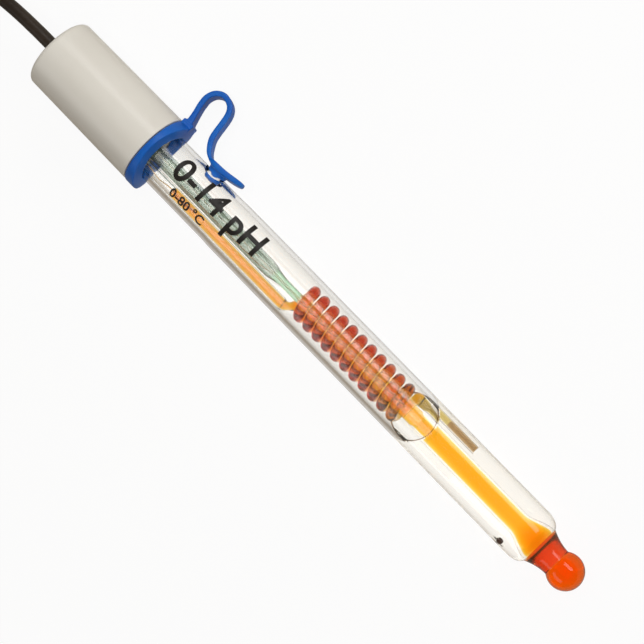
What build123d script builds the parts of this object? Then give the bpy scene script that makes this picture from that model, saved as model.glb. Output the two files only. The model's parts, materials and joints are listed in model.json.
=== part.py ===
import math
import os

from build123d import *

# Combination pH electrode, in millimetres. Along the electrode, distances are counted from the cap's open
# end: plus towards the bulb, minus into the cap. The strap stands out on the +Y side before the electrode
# is laid down to rest on its band, its shoulder and its strap loop.

# Cap
cap_length = 30.0
cap_top_diameter = 16.7
cap_mouth_diameter = 17.0
cap_wall = 1.5
cap_end_wall = 2.2
cap_edge_round = 1.0
cap_mouth_chamfer = 0.3
collar_length = 9.0
fit_gap = 0.05
potting_skirt = 2.0

# Outer glass
tube_diameter = 12.0
tube_top_diameter = 11.8
tube_widens_at = 21.0
tube_widens_over = 2.0
tube_wall = 0.9
glass_in_cap = 18.0
body_length = 111.4
shoulder_length = 3.4
ring_seal_wall = 0.75
shoulder_lag = 0.3
wedge_depth = 0.45

# Neck and bulb
neck_diameter = 8.9
neck_wall = 0.75
neck_length = 4.9
neck_waist_along = 0.42
neck_waist_drop = 0.82
neck_end_diameter = 6.4
bulb_diameter = 8.0
bulb_wall = 0.4

# Inner stem
stem_diameter = 3.8
stem_bore = 2.85
stem_length = 45.0
stem_top_wall = 0.6
flare_length = 6.4

# Inner lead: a wide glass tube, drawn down before the coil and sealed to the stem
lead_diameter = 3.6
lead_bore = 2.4
lead_wide_end = 34.6
lead_taper = 5.1
lead_narrow_diameter = 2.0
lead_narrow_bore = 0.5
lead_brow_share = 0.3
lead_brow_shrink = 0.9
lead_seal_share = 0.45
wire_diameter = 0.3
wire_dip = 6.0

# Reference cell: feed tube, coil and outlet, blown as one piece
feed_diameter = 2.8
feed_bore = 1.6
feed_end = 41.4
side_gap = 0.15
coil_start = 44.4
coil_pitch = 2.8
coil_turns = 11.5
coil_tubing = 2.2
coil_bore = 1.5
coil_core_gap = 0.2
coil_taper = 0.28
coil_lean = 0.4
steps_per_turn = 10
feed_bend_shares = [0.4, 0.75]
outlet_bend_shares = [0.25, 0.6, 1.0]
outlet_diameter = 1.3
outlet_bore = 0.55
outlet_length = 16.0
outlet_bend = 4.6
tubing_sides = 8
bore_sides = 6

# Solutions
liquid_gap = 0.02
reference_level = 10.0
fill_level = 78.5
fill_slant = 47.0

# Porous junction through the outer glass
junction_diameter = 1.2
junction_from_shoulder = 2.7
junction_turn = 152.0
junction_blank = 1.5

# Blue cover: a band on the glass, a looped strap, a flap and its stopper plug
band_gap = 0.2
band_overhang = 0.15
band_height = 2.8
band_saddle_radius = 31.0
strap_thickness = 1.27
strap_width = 4.0
strap_bends = [3.0, 2.2, 2.6, 4.0, 2.5]
strap_root = 0.4
lug_height = 2.0
lug_sink = 0.5
lug_margin = 1.0
loop_reach = 10.3
loop_span = 4.5
loop_back = 1.4
loop_belly = 0.9
loop_belly_drop = 3.6
hinge_along = 10.3
hinge_height = 1.2
hinge_relief = 1.0
strap_landing = 1.35
strap_landing_height = 0.95
strap_fall = 3.3
strap_fall_height = 3.5
flap_length = 9.0
flap_width = 6.4
flap_bends = [8.0, 12.0]
flap_dip = 0.2
flap_rise = 0.15
flap_lift = 0.75
plug_along = 13.2
plug_diameter = 4.9
plug_tip_diameter = 3.6
plug_depth = 2.2
plug_sink = 0.2
plug_tip_gap = 0.6
fill_hole_diameter = 5.5

# Cable gland and cable
cable_diameter = 3.0
gland_diameter = 6.7
gland_height = 1.5
gland_stem_diameter = 5.6
gland_stem_proud = 1.0
gland_brow_share = 0.55
gland_rim_share = 0.35
cable_in_cap = 4.0
core_diameter = 0.9
core_fan = 0.25
core_straight = 0.3
splice_diameter = 1.8
splice_length = 4.6
splice_from_end = 3.0

# Put-away cable: an oblong coil, two turns wide and three high, with a tie round its middle
cable_coil_columns = 2
cable_coil_rows = 3
cable_coil_straight = 58.0
cable_coil_bend = 19.0
cable_coil_corner = 1.2
tie_width = 5.0
tie_thickness = 0.8
coil_from_exit = (-35.4, -4.0)
plug_from_coil = (-33.0, 3.0)

# Bayonet plug
collar_diameter = 14.5
collar_bore = 9.8
collar_span = 15.5
collar_lip = 1.7
collar_chamfer = 0.8
slot_width = 2.2
slot_entry = 4.4
slot_arc = 62.0
slit_width = 0.4
slit_share = 0.6
barrel_diameter = 8.1
barrel_bore = 6.8
barrel_length = 11.0
hub_diameter = 8.2
hub_length = 6.0
hub_floor = 2.0
plug_shoulder_diameter = 9.5
plug_shoulder_length = 1.6
running_gap = 0.1
contact_diameter = 1.36
contact_length = 15.0
contact_point = 1.0
contact_recess = 0.8
contact_tip_share = 0.3
insulator_length = 9.0
ferrule_diameter = 6.0
ferrule_flats = 5.4
ferrule_length = 10.0
ferrule_overlap = 4.0
crimp_margin = 1.0
boot_length = 16.0
boot_small_diameter = 4.2
boot_large_diameter = 6.6
boot_taper_share = 0.6
gasket_thickness = 1.0
gasket_inset = 0.1

# Places and radii that follow from the sizes above
tube_radius = tube_diameter / 2
tube_bore_radius = tube_radius - tube_wall
tube_top_radius = tube_top_diameter / 2
neck_start = body_length + shoulder_length
neck_end = neck_start + neck_length
stem_top = neck_start - stem_length
flare_start = neck_start - flare_length
band_radius = cap_mouth_diameter / 2 + band_overhang
band_middle = band_gap + band_height / 2
feed_offset = lead_diameter / 2 + side_gap + feed_diameter / 2
coil_last_radius = stem_diameter / 2 + coil_core_gap + coil_tubing / 2
coil_end = coil_start + coil_pitch * coil_turns
outlet_start = coil_end + outlet_bend
outlet_end = outlet_start + outlet_length - outlet_bend
bulb_radius = bulb_diameter / 2
bulb_centre = neck_end + math.sqrt(bulb_radius**2 - (neck_end_diameter / 2) ** 2)
seal_radius = neck_diameter / 2 - ring_seal_wall
hinge_radius = tube_top_radius + hinge_height
cable_radius = cable_diameter / 2
gland_face = -cap_length - gland_height - fit_gap
splice_end = -cap_length + cap_end_wall + splice_from_end
lead_start = splice_end + splice_length
coil_height = cable_coil_rows * cable_diameter
coil_thickness = cable_coil_columns * cable_diameter
coil_width = cable_coil_bend + coil_thickness

# How the electrode lies: on the band and the shoulder, rolled until the loop's edge meets the surface
rest_pitch = math.degrees(math.asin((band_radius - tube_radius) / (body_length - band_middle)))
loop_radius = band_radius + loop_reach + strap_thickness / 2
loop_corner = math.hypot(loop_radius, strap_width / 2)
rest_roll = math.degrees(
    math.asin(band_radius / loop_corner) - math.atan(strap_width / 2 / loop_radius)
)


def turned(*outline):
    """A solid of revolution about the electrode's axis from the corners of a closed outline."""
    return revolve(make_face(Polyline(*outline, close=True)), Axis.X)


def stepped(arc, steps):
    """Points along an arc, so that a turned face is drawn as a few straight cones."""
    return [arc @ (step / steps) for step in range(steps + 1)]


def ring(start, end, outer, inner=0.0):
    """A straight tube or disc on the axis, given by its radii."""
    return turned((start, inner), (end, inner), (end, outer), (start, outer))


def rod(start, end, diameter, y=0.0):
    """A round bar along the electrode, beside the axis by y."""
    return Pos((start + end) / 2, y, 0) * Rot(0, 90, 0) * Cylinder(diameter / 2, end - start)


# Cap


def cap():
    """Moulded shell with an end wall, and a collar at its mouth that grips the glass."""
    top, mouth = cap_top_diameter / 2, cap_mouth_diameter / 2
    grip, inside = tube_top_radius + fit_gap, top - cap_wall
    hole = gland_stem_diameter / 2 + fit_gap
    end = -cap_length
    round_start, round_end = (end, top - cap_edge_round), (end + cap_edge_round, top)
    return turned(
        (end, hole),
        *stepped(TangentArc(round_start, round_end, tangent=(0, 1)), 3),
        (-cap_mouth_chamfer, mouth),
        (0, mouth - cap_mouth_chamfer),
        (0, grip),
        (-collar_length, grip),
        (-collar_length, inside),
        (end + cap_end_wall, inside),
        (end + cap_end_wall, hole),
    )


def cap_potting(held):
    """Sealing compound behind the glass, cast round everything that it holds."""
    inside = cap_top_diameter / 2 - cap_wall - liquid_gap
    back, glass = -cap_length + cap_end_wall, -glass_in_cap - liquid_gap
    body = turned(
        (back, 0),
        (back, inside),
        (glass + potting_skirt, inside),
        (glass + potting_skirt, tube_top_radius + liquid_gap),
        (glass, tube_top_radius + liquid_gap),
        (glass, 0),
    )
    for piece in held:
        body -= piece
    return body


def cable_gland():
    """Low dome outside the end wall and a stem through it, bored for the cable."""
    bore = cable_radius + liquid_gap
    foot, face = -cap_length - fit_gap, gland_face
    dome, stem = gland_diameter / 2, gland_stem_diameter / 2
    inner_end = -cap_length + cap_end_wall + gland_stem_proud
    brow = (face, dome - gland_brow_share * gland_height)
    rim = (foot - gland_rim_share * gland_height, dome)
    return turned(
        (face, bore),
        (inner_end, bore),
        (inner_end, stem),
        (foot, stem),
        (foot, dome),
        *stepped(TangentArc(rim, brow, tangent=(-1, 0)), 2),
    )


def cable_end():
    """Stripped end of the cable: the jacket in the gland, and two cores to the splices."""
    jacket_end = -cap_length + cable_in_cap
    end = rod(gland_face, jacket_end, cable_diameter)
    for y in (0.0, -feed_offset):
        start = Vector(jacket_end - core_diameter, y * core_fan, 0)
        run = Polyline(start, (jacket_end + core_straight, start.Y, 0), (splice_end, y, 0))
        section = Plane(origin=start, z_dir=(1, 0, 0)) * Circle(core_diameter / 2)
        end += sweep(section, path=run, transition=Transition.RIGHT)
    return end - rod(splice_end, splice_end + core_diameter, 4 * feed_offset)


def splice(y):
    """Insulated joint from a cable core to the electrode's own wire."""
    return rod(splice_end, lead_start, splice_diameter, y)


# Outer glass


def outer_tube():
    """Glass body: straight wall, a touch narrower by the cap, rounded shoulder drawn in to the ring seal."""
    outer, inner = tube_radius, tube_bore_radius
    top_outer, top_inner = tube_top_radius, tube_top_radius - tube_wall
    widen, widened = tube_widens_at, tube_widens_at + tube_widens_over
    lip, drop = neck_diameter / 2, tube_radius - neck_diameter / 2
    start, bend, end = -glass_in_cap, body_length, neck_start
    inner_bend, inner_end = bend - shoulder_lag, end - wedge_depth
    shoulder = turned(
        (start, top_inner),
        (start, top_outer),
        (widen, top_outer),
        (widened, outer),
        *stepped(TangentArc((bend, outer), (end, lip), tangent=(1, 0)), 4),
        (end, seal_radius),
        *reversed(stepped(TangentArc((inner_bend, inner), (inner_end, seal_radius), tangent=(1, 0)), 3)),
        (widened, inner),
        (widen, top_inner),
    )
    hole = Pos(plug_along, outer - drop, 0) * Rot(90, 0, 0) * Cylinder(
        fill_hole_diameter / 2, 2 * drop + 2 * tube_wall
    )
    return shoulder - hole - junction_bar(junction_diameter)


def junction_bar(diameter):
    """The junction's bar, set square through the glass wall."""
    middle = tube_radius - tube_wall / 2
    bar = Pos(0, middle, 0) * Rot(90, 0, 0) * Cylinder(diameter / 2, junction_blank * tube_wall)
    return Pos(body_length - junction_from_shoulder, 0, 0) * Rot(junction_turn, 0, 0) * bar


def junction_plug():
    """Porous plug, ground flush with both faces of the wall."""
    start = body_length - junction_from_shoulder - junction_diameter
    end = start + 2 * junction_diameter
    return junction_bar(junction_diameter - fit_gap / 2) & ring(start, end, tube_radius, tube_bore_radius)


# Inner glass


def inner_stem():
    """Stem closed at its top, flared out to the ring seal, and carried on as the neck above the bulb."""
    outer, bore = stem_diameter / 2, stem_bore / 2
    lip, end = neck_diameter / 2, neck_end_diameter / 2
    neck_bore, wire_hole = seal_radius - neck_wall, lead_narrow_bore / 2
    waist = (neck_start + neck_waist_along * neck_length, lip - neck_waist_drop * (lip - end))
    top = stem_top + stem_top_wall
    return turned(
        (stem_top, wire_hole),
        (stem_top, outer),
        *flare(outer, seal_radius),
        *stepped(ThreePointArc((neck_start, lip), waist, (neck_end, end)), 4),
        (neck_end, inner_bulb_mouth()),
        *reversed(flare(bore, neck_bore)),
        (top, bore),
        (top, wire_hole),
    )


def flare(radius, end_radius):
    """Points where the stem widens to the ring seal, for its faces and for the liquids on them."""
    return stepped(TangentArc((flare_start, radius), (neck_start, end_radius), tangent=(1, 0)), 4)


def inner_bulb_mouth():
    """Radius of the bulb's inner face where it meets the neck."""
    return math.sqrt((bulb_radius - bulb_wall) ** 2 - (bulb_centre - neck_end) ** 2)


def ball_points(radius, steps):
    """Points on a sphere about the bulb's centre, from the neck's end to its tip."""
    first = math.acos((neck_end - bulb_centre) / radius)
    angles = [first * (1 - step / steps) for step in range(steps + 1)]
    return [(bulb_centre + radius * math.cos(angle), radius * math.sin(angle)) for angle in angles]


def ph_bulb():
    """Thin round shell, open to the neck."""
    return turned(*ball_points(bulb_radius, 8), *reversed(ball_points(bulb_radius - bulb_wall, 6)))


def inner_solution():
    """Liquid that fills the bulb, the neck and the stem, round the wire's tip."""
    gap = liquid_gap
    bore, neck_bore = stem_bore / 2 - gap, seal_radius - neck_wall - gap
    top, wire = stem_top + stem_top_wall + gap, (wire_diameter + gap) / 2
    dip = stem_top + stem_top_wall + wire_dip + gap
    return turned(
        (top, wire),
        (top, bore),
        *flare(bore, neck_bore),
        *ball_points(bulb_radius - bulb_wall - gap, 6),
        (dip, 0),
        (dip, wire),
    )


def lead_tube():
    """Wide tube for the inner lead, drawn down to a fine bore that passes through the coil to the stem."""
    wide, bore = lead_diameter / 2, lead_bore / 2
    slim, fine = lead_narrow_diameter / 2, lead_narrow_bore / 2
    narrow = lead_wide_end + lead_taper
    return turned(
        (lead_start, bore),
        (lead_start, wide),
        (lead_wide_end, wide),
        (lead_wide_end + lead_taper * lead_brow_share, wide * lead_brow_shrink),
        (narrow, slim),
        (stem_top, slim),
        (stem_top, fine),
        (lead_wide_end + lead_taper * lead_seal_share, fine),
        (lead_wide_end - lead_taper * lead_brow_share, bore),
    )


def lead_wire(diameter=wire_diameter):
    """Wire from its splice down into the inner solution."""
    return rod(lead_start, stem_top + stem_top_wall + wire_dip, diameter)


# Reference cell


def helix_station(turn):
    """Centre and outward direction of the coil's tubing after so many turns from the feed side."""
    share = turn / coil_turns
    radius = coil_last_radius - coil_taper * (1 - share)
    angle = math.pi + 2 * math.pi * turn
    outward = Vector(0, math.cos(angle), math.sin(angle))
    centre = Vector(coil_start + coil_pitch * turn, coil_lean * (1 - share), 0)
    return centre + outward * radius, outward


def cell_stations(tubing, feed, outlet):
    """Centre, outward direction and diameter at each joint of the cell's path, from the cap to the outlet."""
    side = Vector(0, -1, 0)
    entry, entry_outward = helix_station(1 / steps_per_turn)
    start = Vector(feed_end, -feed_offset, 0)
    stations = [(Vector(lead_start, -feed_offset, 0), side, feed), (start, side, feed)]
    for share in feed_bend_shares:
        place = start + (entry - start) * share
        place.Y, place.Z = start.Y + (entry.Y - start.Y) * share**2, entry.Z * share**2
        outward = (side + (entry_outward - side) * share).normalized()
        stations.append((place, outward, feed + (tubing - feed) * share))
    for step in range(1, round(coil_turns * steps_per_turn)):
        place, outward = helix_station(step / steps_per_turn)
        stations.append((place, outward, tubing))
    last, side = Vector(coil_end, coil_last_radius, 0), Vector(0, 1, 0)
    for share in outlet_bend_shares:
        place = last + Vector(outlet_bend * share, 0, 0)
        stations.append((place, side, tubing + (outlet - tubing) * share))
    stations.append((Vector(outlet_end, coil_last_radius, 0), side, outlet))
    return stations


def cell_solid(tubing, feed, outlet, sides):
    """A tube with flat sides lofted straight from joint to joint, so that all turns stay light."""
    stations = cell_stations(tubing, feed, outlet)
    places = [place for place, _, _ in stations]
    sections = []
    for index, (place, outward, diameter) in enumerate(stations):
        before, after = places[max(index - 1, 0)], places[min(index + 1, len(places) - 1)]
        along = (after - before).normalized()
        level = (outward - along * outward.dot(along)).normalized()
        sections.append(Plane(origin=place, x_dir=level, z_dir=along) * RegularPolygon(diameter / 2, sides))
    return loft(sections, ruled=True)


def reference_cell():
    """Feed tube, coil and outlet with one bore from end to end."""
    glass = cell_solid(coil_tubing, feed_diameter, outlet_diameter, tubing_sides)
    return glass - cell_solid(coil_bore, feed_bore, outlet_bore, bore_sides)


def reference_solution():
    """Liquid column in the straight feed tube, with the wire's end in it."""
    column = cell_solid(coil_bore, feed_bore, outlet_bore, bore_sides) & rod(
        reference_level, feed_end, feed_diameter, -feed_offset
    )
    return column - reference_wire(wire_diameter + liquid_gap)


def reference_wire(diameter=wire_diameter):
    """Wire from its splice down into the reference solution."""
    return rod(lead_start, reference_level + wire_dip, diameter, -feed_offset)


def fill_solution():
    """Clear liquid round the stem, under a slanted surface, with the last turns and the outlet in it."""
    gap = liquid_gap
    wall, stem = tube_bore_radius - gap, stem_diameter / 2 + gap
    reach = tube_radius * math.tan(math.radians(fill_slant))
    top, bend, tip = fill_level - reach, body_length - shoulder_lag - gap, neck_start - wedge_depth - gap
    body = turned(
        (top, 0),
        (top, wall),
        *stepped(TangentArc((bend, wall), (tip, seal_radius - gap), tangent=(1, 0)), 3),
        (tip, 0),
    )
    core = turned((top - reach, 0), (top - reach, stem), *flare(stem, seal_radius + gap), (neck_start, 0))
    air = Pos(fill_level, 0, 0) * Rot(0, fill_slant - 90, 0) * Pos(0, 0, body_length) * Box(
        2 * body_length, 4 * tube_radius, 2 * body_length
    )
    cell = cell_solid(coil_tubing + gap, feed_diameter + gap, outlet_diameter + gap, tubing_sides)
    return body - core - air - cell


# Blue cover


def strap_line():
    """Middle line of the strap, from the band round the loop and down to the hinge."""
    root, crown = band_radius - strap_root, band_radius + loop_reach
    back, front = band_middle - loop_back, band_middle - loop_back + loop_span
    points = [
        (band_middle, root),
        (back - loop_belly, crown - loop_belly_drop),
        (back, crown),
        (front, crown),
        (hinge_along - strap_fall, hinge_radius + strap_fall_height),
        (hinge_along - strap_landing, hinge_radius + strap_landing_height),
        (hinge_along, hinge_radius),
    ]
    return FilletPolyline(*points, radius=strap_bends)


def slab(line, width):
    """A strip of the strap's thickness along a line, as wide as told."""
    return extrude(trace(line, strap_thickness), width / 2, both=True)


def cover_band():
    """Band with a saddle-shaped lower face, its squared lug and the looped strap."""
    inner = tube_top_radius + fit_gap
    collar = ring(band_gap, band_gap + band_height, band_radius, inner)
    saddle = Pos(band_gap + band_height - band_saddle_radius, 0, 0) * Rot(90, 0, 0) * Cylinder(
        band_saddle_radius, 4 * band_radius
    )
    lug = Pos(band_middle, band_radius - lug_sink, 0) * Box(band_height, lug_height, strap_width + lug_margin)
    strap = slab(strap_line(), strap_width) - hinge_drum(hinge_relief)
    return (collar & saddle) + lug + strap


def hinge_drum(radius):
    """Round bar on the living hinge's line."""
    return Pos(hinge_along, hinge_radius, 0) * Cylinder(radius, 4 * strap_width)


def cover_stopper():
    """Flap with a rounded tip, and the tapered plug that closes the fill hole."""
    tip, half = hinge_along + flap_length, flap_width / 2
    line = FilletPolyline(
        (hinge_along, hinge_radius),
        (plug_along - plug_tip_gap, hinge_radius - flap_dip),
        (tip - half, hinge_radius + flap_rise),
        (tip, hinge_radius + flap_lift),
        radius=flap_bends,
    )
    plan = Pos(tip - half, 0) * Circle(half)
    plan += make_face(
        Polyline(
            (hinge_along, -strap_width / 2),
            (plug_along, -half),
            (tip - half, -half),
            (tip - half, half),
            (plug_along, half),
            (hinge_along, strap_width / 2),
            close=True,
        )
    )
    level = Plane(origin=(0, hinge_radius, 0), x_dir=(1, 0, 0), z_dir=(0, 1, 0))
    flap = slab(line, flap_width) & extrude(level * plan, flap_width, both=True)
    knuckle = hinge_drum(strap_thickness / 2) & Pos(hinge_along, hinge_radius, 0) * Box(
        flap_width, flap_width, strap_width
    )
    root = tube_top_radius - plug_depth + plug_tip_gap
    base = hinge_radius - strap_thickness / 2 + plug_sink
    plug = Pos(plug_along, (base + root) / 2, 0) * Rot(-90, 0, 0) * Cone(
        plug_tip_diameter / 2, plug_diameter / 2, base - root
    )
    return flap + knuckle + plug


# Put-away cable


def cable_coil():
    """The put-away turns as one oblong ring, pulled in a little where the tie holds them."""
    outside = SlotCenterToCenter(cable_coil_straight, coil_width)
    inside = SlotCenterToCenter(cable_coil_straight, cable_coil_bend - coil_thickness)
    turns = extrude(outside - inside, coil_height)
    level = turns.faces().sort_by(Axis.Z)
    return chamfer([*level[0].edges(), *level[-1].edges()], cable_coil_corner) - coil_tie()


def tie_outline(inset=0.0):
    """Section of the whole coil at its middle, with its corners cut."""
    block = Rectangle(coil_width - 2 * inset, coil_height - 2 * inset)
    return chamfer(block.vertices(), cable_coil_corner)


def coil_tie():
    """Strip round both sides of the coil, in the place that they are pulled in."""
    plane = Plane(origin=(0, 0, coil_height / 2), x_dir=(0, 1, 0), z_dir=(1, 0, 0))
    return extrude(plane * (tie_outline() - tie_outline(tie_thickness)), tie_width / 2, both=True)


def cable_run(points):
    """Straight runs and the largest arcs that they allow, and the tube along them."""
    corners = [Vector(*point) for point in points]
    radii = []
    for before, corner, after in zip(corners, corners[1:], corners[2:]):
        short = min((corner - before).length, (after - corner).length)
        turn = math.radians((corner - before).get_angle(after - corner))
        radii.append(0.45 * short / math.tan(turn / 2))
    path = FilletPolyline(*corners, radius=radii)
    section = Plane(origin=corners[0], z_dir=corners[1] - corners[0]) * Circle(cable_radius)
    tube = sweep(section, path=path)
    print("arc radii", [round(radius, 1) for radius in radii], "length", round(path.length, 2))
    print("volume over section times length", round(tube.volume / (math.pi * cable_radius**2 * path.length), 4))
    return tube


# Bayonet plug, counted from the boot's thin end towards its mouth

ferrule_start = boot_length - ferrule_overlap
body_start = ferrule_start + ferrule_length
hub_end = body_start + hub_length
shoulder_end = hub_end + plug_shoulder_length
barrel_end = shoulder_end + barrel_length
collar_start = hub_end - collar_lip - running_gap
collar_end = collar_start + collar_span
contact_end = barrel_end - contact_recess


def connector_boot():
    """Soft tapered strain relief, pushed over the ferrule."""
    slim, wide, bore = boot_small_diameter / 2, boot_large_diameter / 2, cable_radius + liquid_gap
    socket = ferrule_diameter / 2 + liquid_gap
    return turned(
        (0, bore),
        (0, slim),
        (boot_length * boot_taper_share, wide),
        (boot_length, wide),
        (boot_length, socket),
        (ferrule_start, socket),
        (ferrule_start, bore),
    )


def crimp_ferrule():
    """Metal sleeve, crimped to six flats beyond the boot."""
    sleeve = ring(ferrule_start, body_start, ferrule_diameter / 2, cable_radius + liquid_gap)
    start, end = boot_length + crimp_margin, body_start - crimp_margin
    flats = Plane(origin=(start, 0, 0), z_dir=(1, 0, 0)) * RegularPolygon(ferrule_flats / 2, 6, major_radius=False)
    return (sleeve - ring(start, end, ferrule_diameter)) + (sleeve & extrude(flats, end - start))


def connector_body():
    """Turned body: hub, retaining shoulder and the contact barrel with four slits."""
    bore = barrel_bore / 2
    throat = contact_diameter / 2 + liquid_gap
    body = turned(
        (body_start, throat),
        (body_start, hub_diameter / 2),
        (hub_end, hub_diameter / 2),
        (hub_end, plug_shoulder_diameter / 2),
        (shoulder_end, plug_shoulder_diameter / 2),
        (shoulder_end, barrel_diameter / 2),
        (barrel_end, barrel_diameter / 2),
        (barrel_end, bore),
        (body_start + hub_floor, bore),
        (body_start + hub_floor, throat),
    )
    slit_length = barrel_length * slit_share
    for angle in (0, 90):
        body -= Pos(barrel_end - slit_length / 2, 0, 0) * Rot(angle + 45, 0, 0) * Box(
            slit_length, 2 * barrel_diameter, slit_width
        )
    return body


def connector_insulator():
    """White sleeve round the contact, seated against the body's inner step."""
    start = body_start + hub_floor + liquid_gap
    return ring(start, start + insulator_length, barrel_bore / 2 - liquid_gap, contact_diameter / 2 + liquid_gap)


def centre_contact():
    """Pointed middle contact, soldered to the cable's core."""
    start = contact_end - contact_length
    radius = contact_diameter / 2
    return turned(
        (start, 0),
        (start, radius),
        (contact_end - contact_point, radius),
        (contact_end, radius * contact_tip_share),
        (contact_end, 0),
    )


def connector_gasket():
    """Soft ring at the foot of the barrel."""
    inner = barrel_diameter / 2 + liquid_gap
    return ring(shoulder_end, shoulder_end + gasket_thickness, plug_shoulder_diameter / 2 - gasket_inset, inner)


def coupling_collar():
    """Bayonet collar: a lip behind the body's shoulder, and two slots for the socket's studs."""
    outer, bore = collar_diameter / 2, collar_bore / 2
    lip = hub_diameter / 2 + running_gap
    body = turned(
        (collar_start, lip),
        (collar_start, outer - collar_chamfer),
        (collar_start + collar_chamfer, outer),
        (collar_end - collar_chamfer, outer),
        (collar_end, outer - collar_chamfer),
        (collar_end, bore),
        (collar_start + collar_lip, bore),
        (collar_start + collar_lip, lip),
    )
    deep = outer - bore
    run = Pos(collar_end - slot_entry - slot_width / 2, outer) * Rectangle(slot_width, 2.5 * deep)
    for side in (0, 180):
        entry = Pos(collar_end - (slot_entry + slot_width) / 2, outer, 0) * Box(
            slot_entry + slot_width, 2.5 * deep, slot_width
        )
        body -= Rot(side, 0, 0) * (entry + revolve(run, Axis.X, slot_arc))
    return body


# The whole, laid down to rest


def electrode_pieces():
    """Every piece that the electrode itself is made of, still along its own axis."""
    splices = [splice(0.0), splice(-feed_offset)]
    bars = [
        rod(lead_start, 0, lead_diameter + liquid_gap),
        rod(lead_start, 0, feed_diameter + liquid_gap, -feed_offset),
        rod(-cap_length, -cap_length + cap_end_wall + gland_stem_proud, gland_stem_diameter + liquid_gap),
    ]
    return {
        "cap": cap(),
        "cap_potting": cap_potting([*bars, cable_end(), *splices]),
        "cable_gland": cable_gland(),
        "cable_end": cable_end(),
        "signal_splice": splices[0],
        "reference_splice": splices[1],
        "outer_tube": outer_tube(),
        "junction_plug": junction_plug(),
        "inner_stem": inner_stem(),
        "ph_bulb": ph_bulb(),
        "inner_solution": inner_solution(),
        "lead_tube": lead_tube(),
        "lead_wire": lead_wire(),
        "reference_cell": reference_cell(),
        "reference_solution": reference_solution(),
        "reference_wire": reference_wire(),
        "fill_solution": fill_solution(),
        "cover_band": cover_band(),
        "cover_stopper": cover_stopper(),
    }


def plug_pieces():
    """The bayonet plug's pieces, along +X from the boot's thin end."""
    return {
        "connector_boot": connector_boot(),
        "crimp_ferrule": crimp_ferrule(),
        "connector_body": connector_body(),
        "connector_insulator": connector_insulator(),
        "centre_contact": centre_contact(),
        "connector_gasket": connector_gasket(),
        "coupling_collar": coupling_collar(),
    }


def main():
    laid = Rot(0, rest_pitch, 0) * Rot(-rest_roll, 0, 0)
    pieces = {name: laid * solid for name, solid in electrode_pieces().items()}
    box = Compound(children=[piece.moved(Location()) for piece in pieces.values()]).bounding_box()
    origin = Vector((box.min.X + box.max.X) / 2, (box.min.Y + box.max.Y) / 2, box.min.Z)
    seat = Pos(-origin.X, -origin.Y, -origin.Z)
    pieces = {name: seat * piece for name, piece in pieces.items()}
    frame = seat * laid

    exit_point = (frame * Pos(gland_face, 0, 0)).position
    outward = (exit_point - (frame * Pos(0, 0, 0)).position).normalized()
    coil_edge = Vector(exit_point.X + coil_from_exit[0], exit_point.Y + coil_from_exit[1], 0)
    coil_far = coil_edge.X - cable_coil_straight
    coil_place = Pos((coil_edge.X + coil_far) / 2, coil_edge.Y + coil_width / 2 - cable_radius, 0)
    top_row = coil_height - cable_radius
    plug_end = Vector(coil_far + plug_from_coil[0], coil_edge.Y + plug_from_coil[1], collar_diameter / 2)
    pieces["cable_lead"] = cable_run(
        [
            exit_point,
            exit_point + outward * 10.5,
            exit_point + Vector(-23.0, -3.8, top_row - exit_point.Z + 0.1),
            (coil_edge.X, coil_edge.Y, top_row),
        ]
    )
    pieces["cable_coil"] = coil_place * cable_coil()
    pieces["coil_tie"] = coil_place * coil_tie()
    pieces["cable_tail"] = cable_run(
        [
            (coil_far, coil_edge.Y, coil_height / 2),
            (coil_far - 10.5, coil_edge.Y + 0.1, coil_height / 2),
            (coil_far - 22.0, coil_edge.Y + 2.8, plug_end.Z - 0.2),
            plug_end,
        ]
    )
    plug_place = Pos(*plug_end) * Rot(0, 0, 180)
    for name, solid in plug_pieces().items():
        pieces[name] = plug_place * solid

    os.makedirs("parts", exist_ok=True)
    for name, piece in pieces.items():
        export_step(piece, f"parts/{name}.step")
    report_places(frame, exit_point, coil_place, plug_place)


def report_places(frame, exit_point, coil_place, plug_place):
    """Prints the places that mounts, joints and the cable's route are given at."""
    body_middle = (tube_widens_at + tube_widens_over + body_length) / 2
    print("pitch", round(rest_pitch, 4), "roll", round(rest_roll, 4))
    for label, along in (("cap mouth", 0.0), ("one along", 1.0), ("body middle", body_middle)):
        print(label, [round(value, 4) for value in (frame * Pos(along, 0, 0)).position])
    print("hinge", [round(value, 4) for value in (frame * Pos(hinge_along, hinge_radius, 0)).position])
    print("exit", [round(value, 4) for value in exit_point])
    print("coil centre", [round(value, 4) for value in coil_place.position])
    print("plug end", [round(value, 4) for value in plug_place.position])
    across = Plane(frame).z_dir
    print("across", [round(value, 5) for value in across])


main()
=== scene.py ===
import json
import math

import bmesh
import bpy
from mathutils import Matrix, Vector


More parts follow.
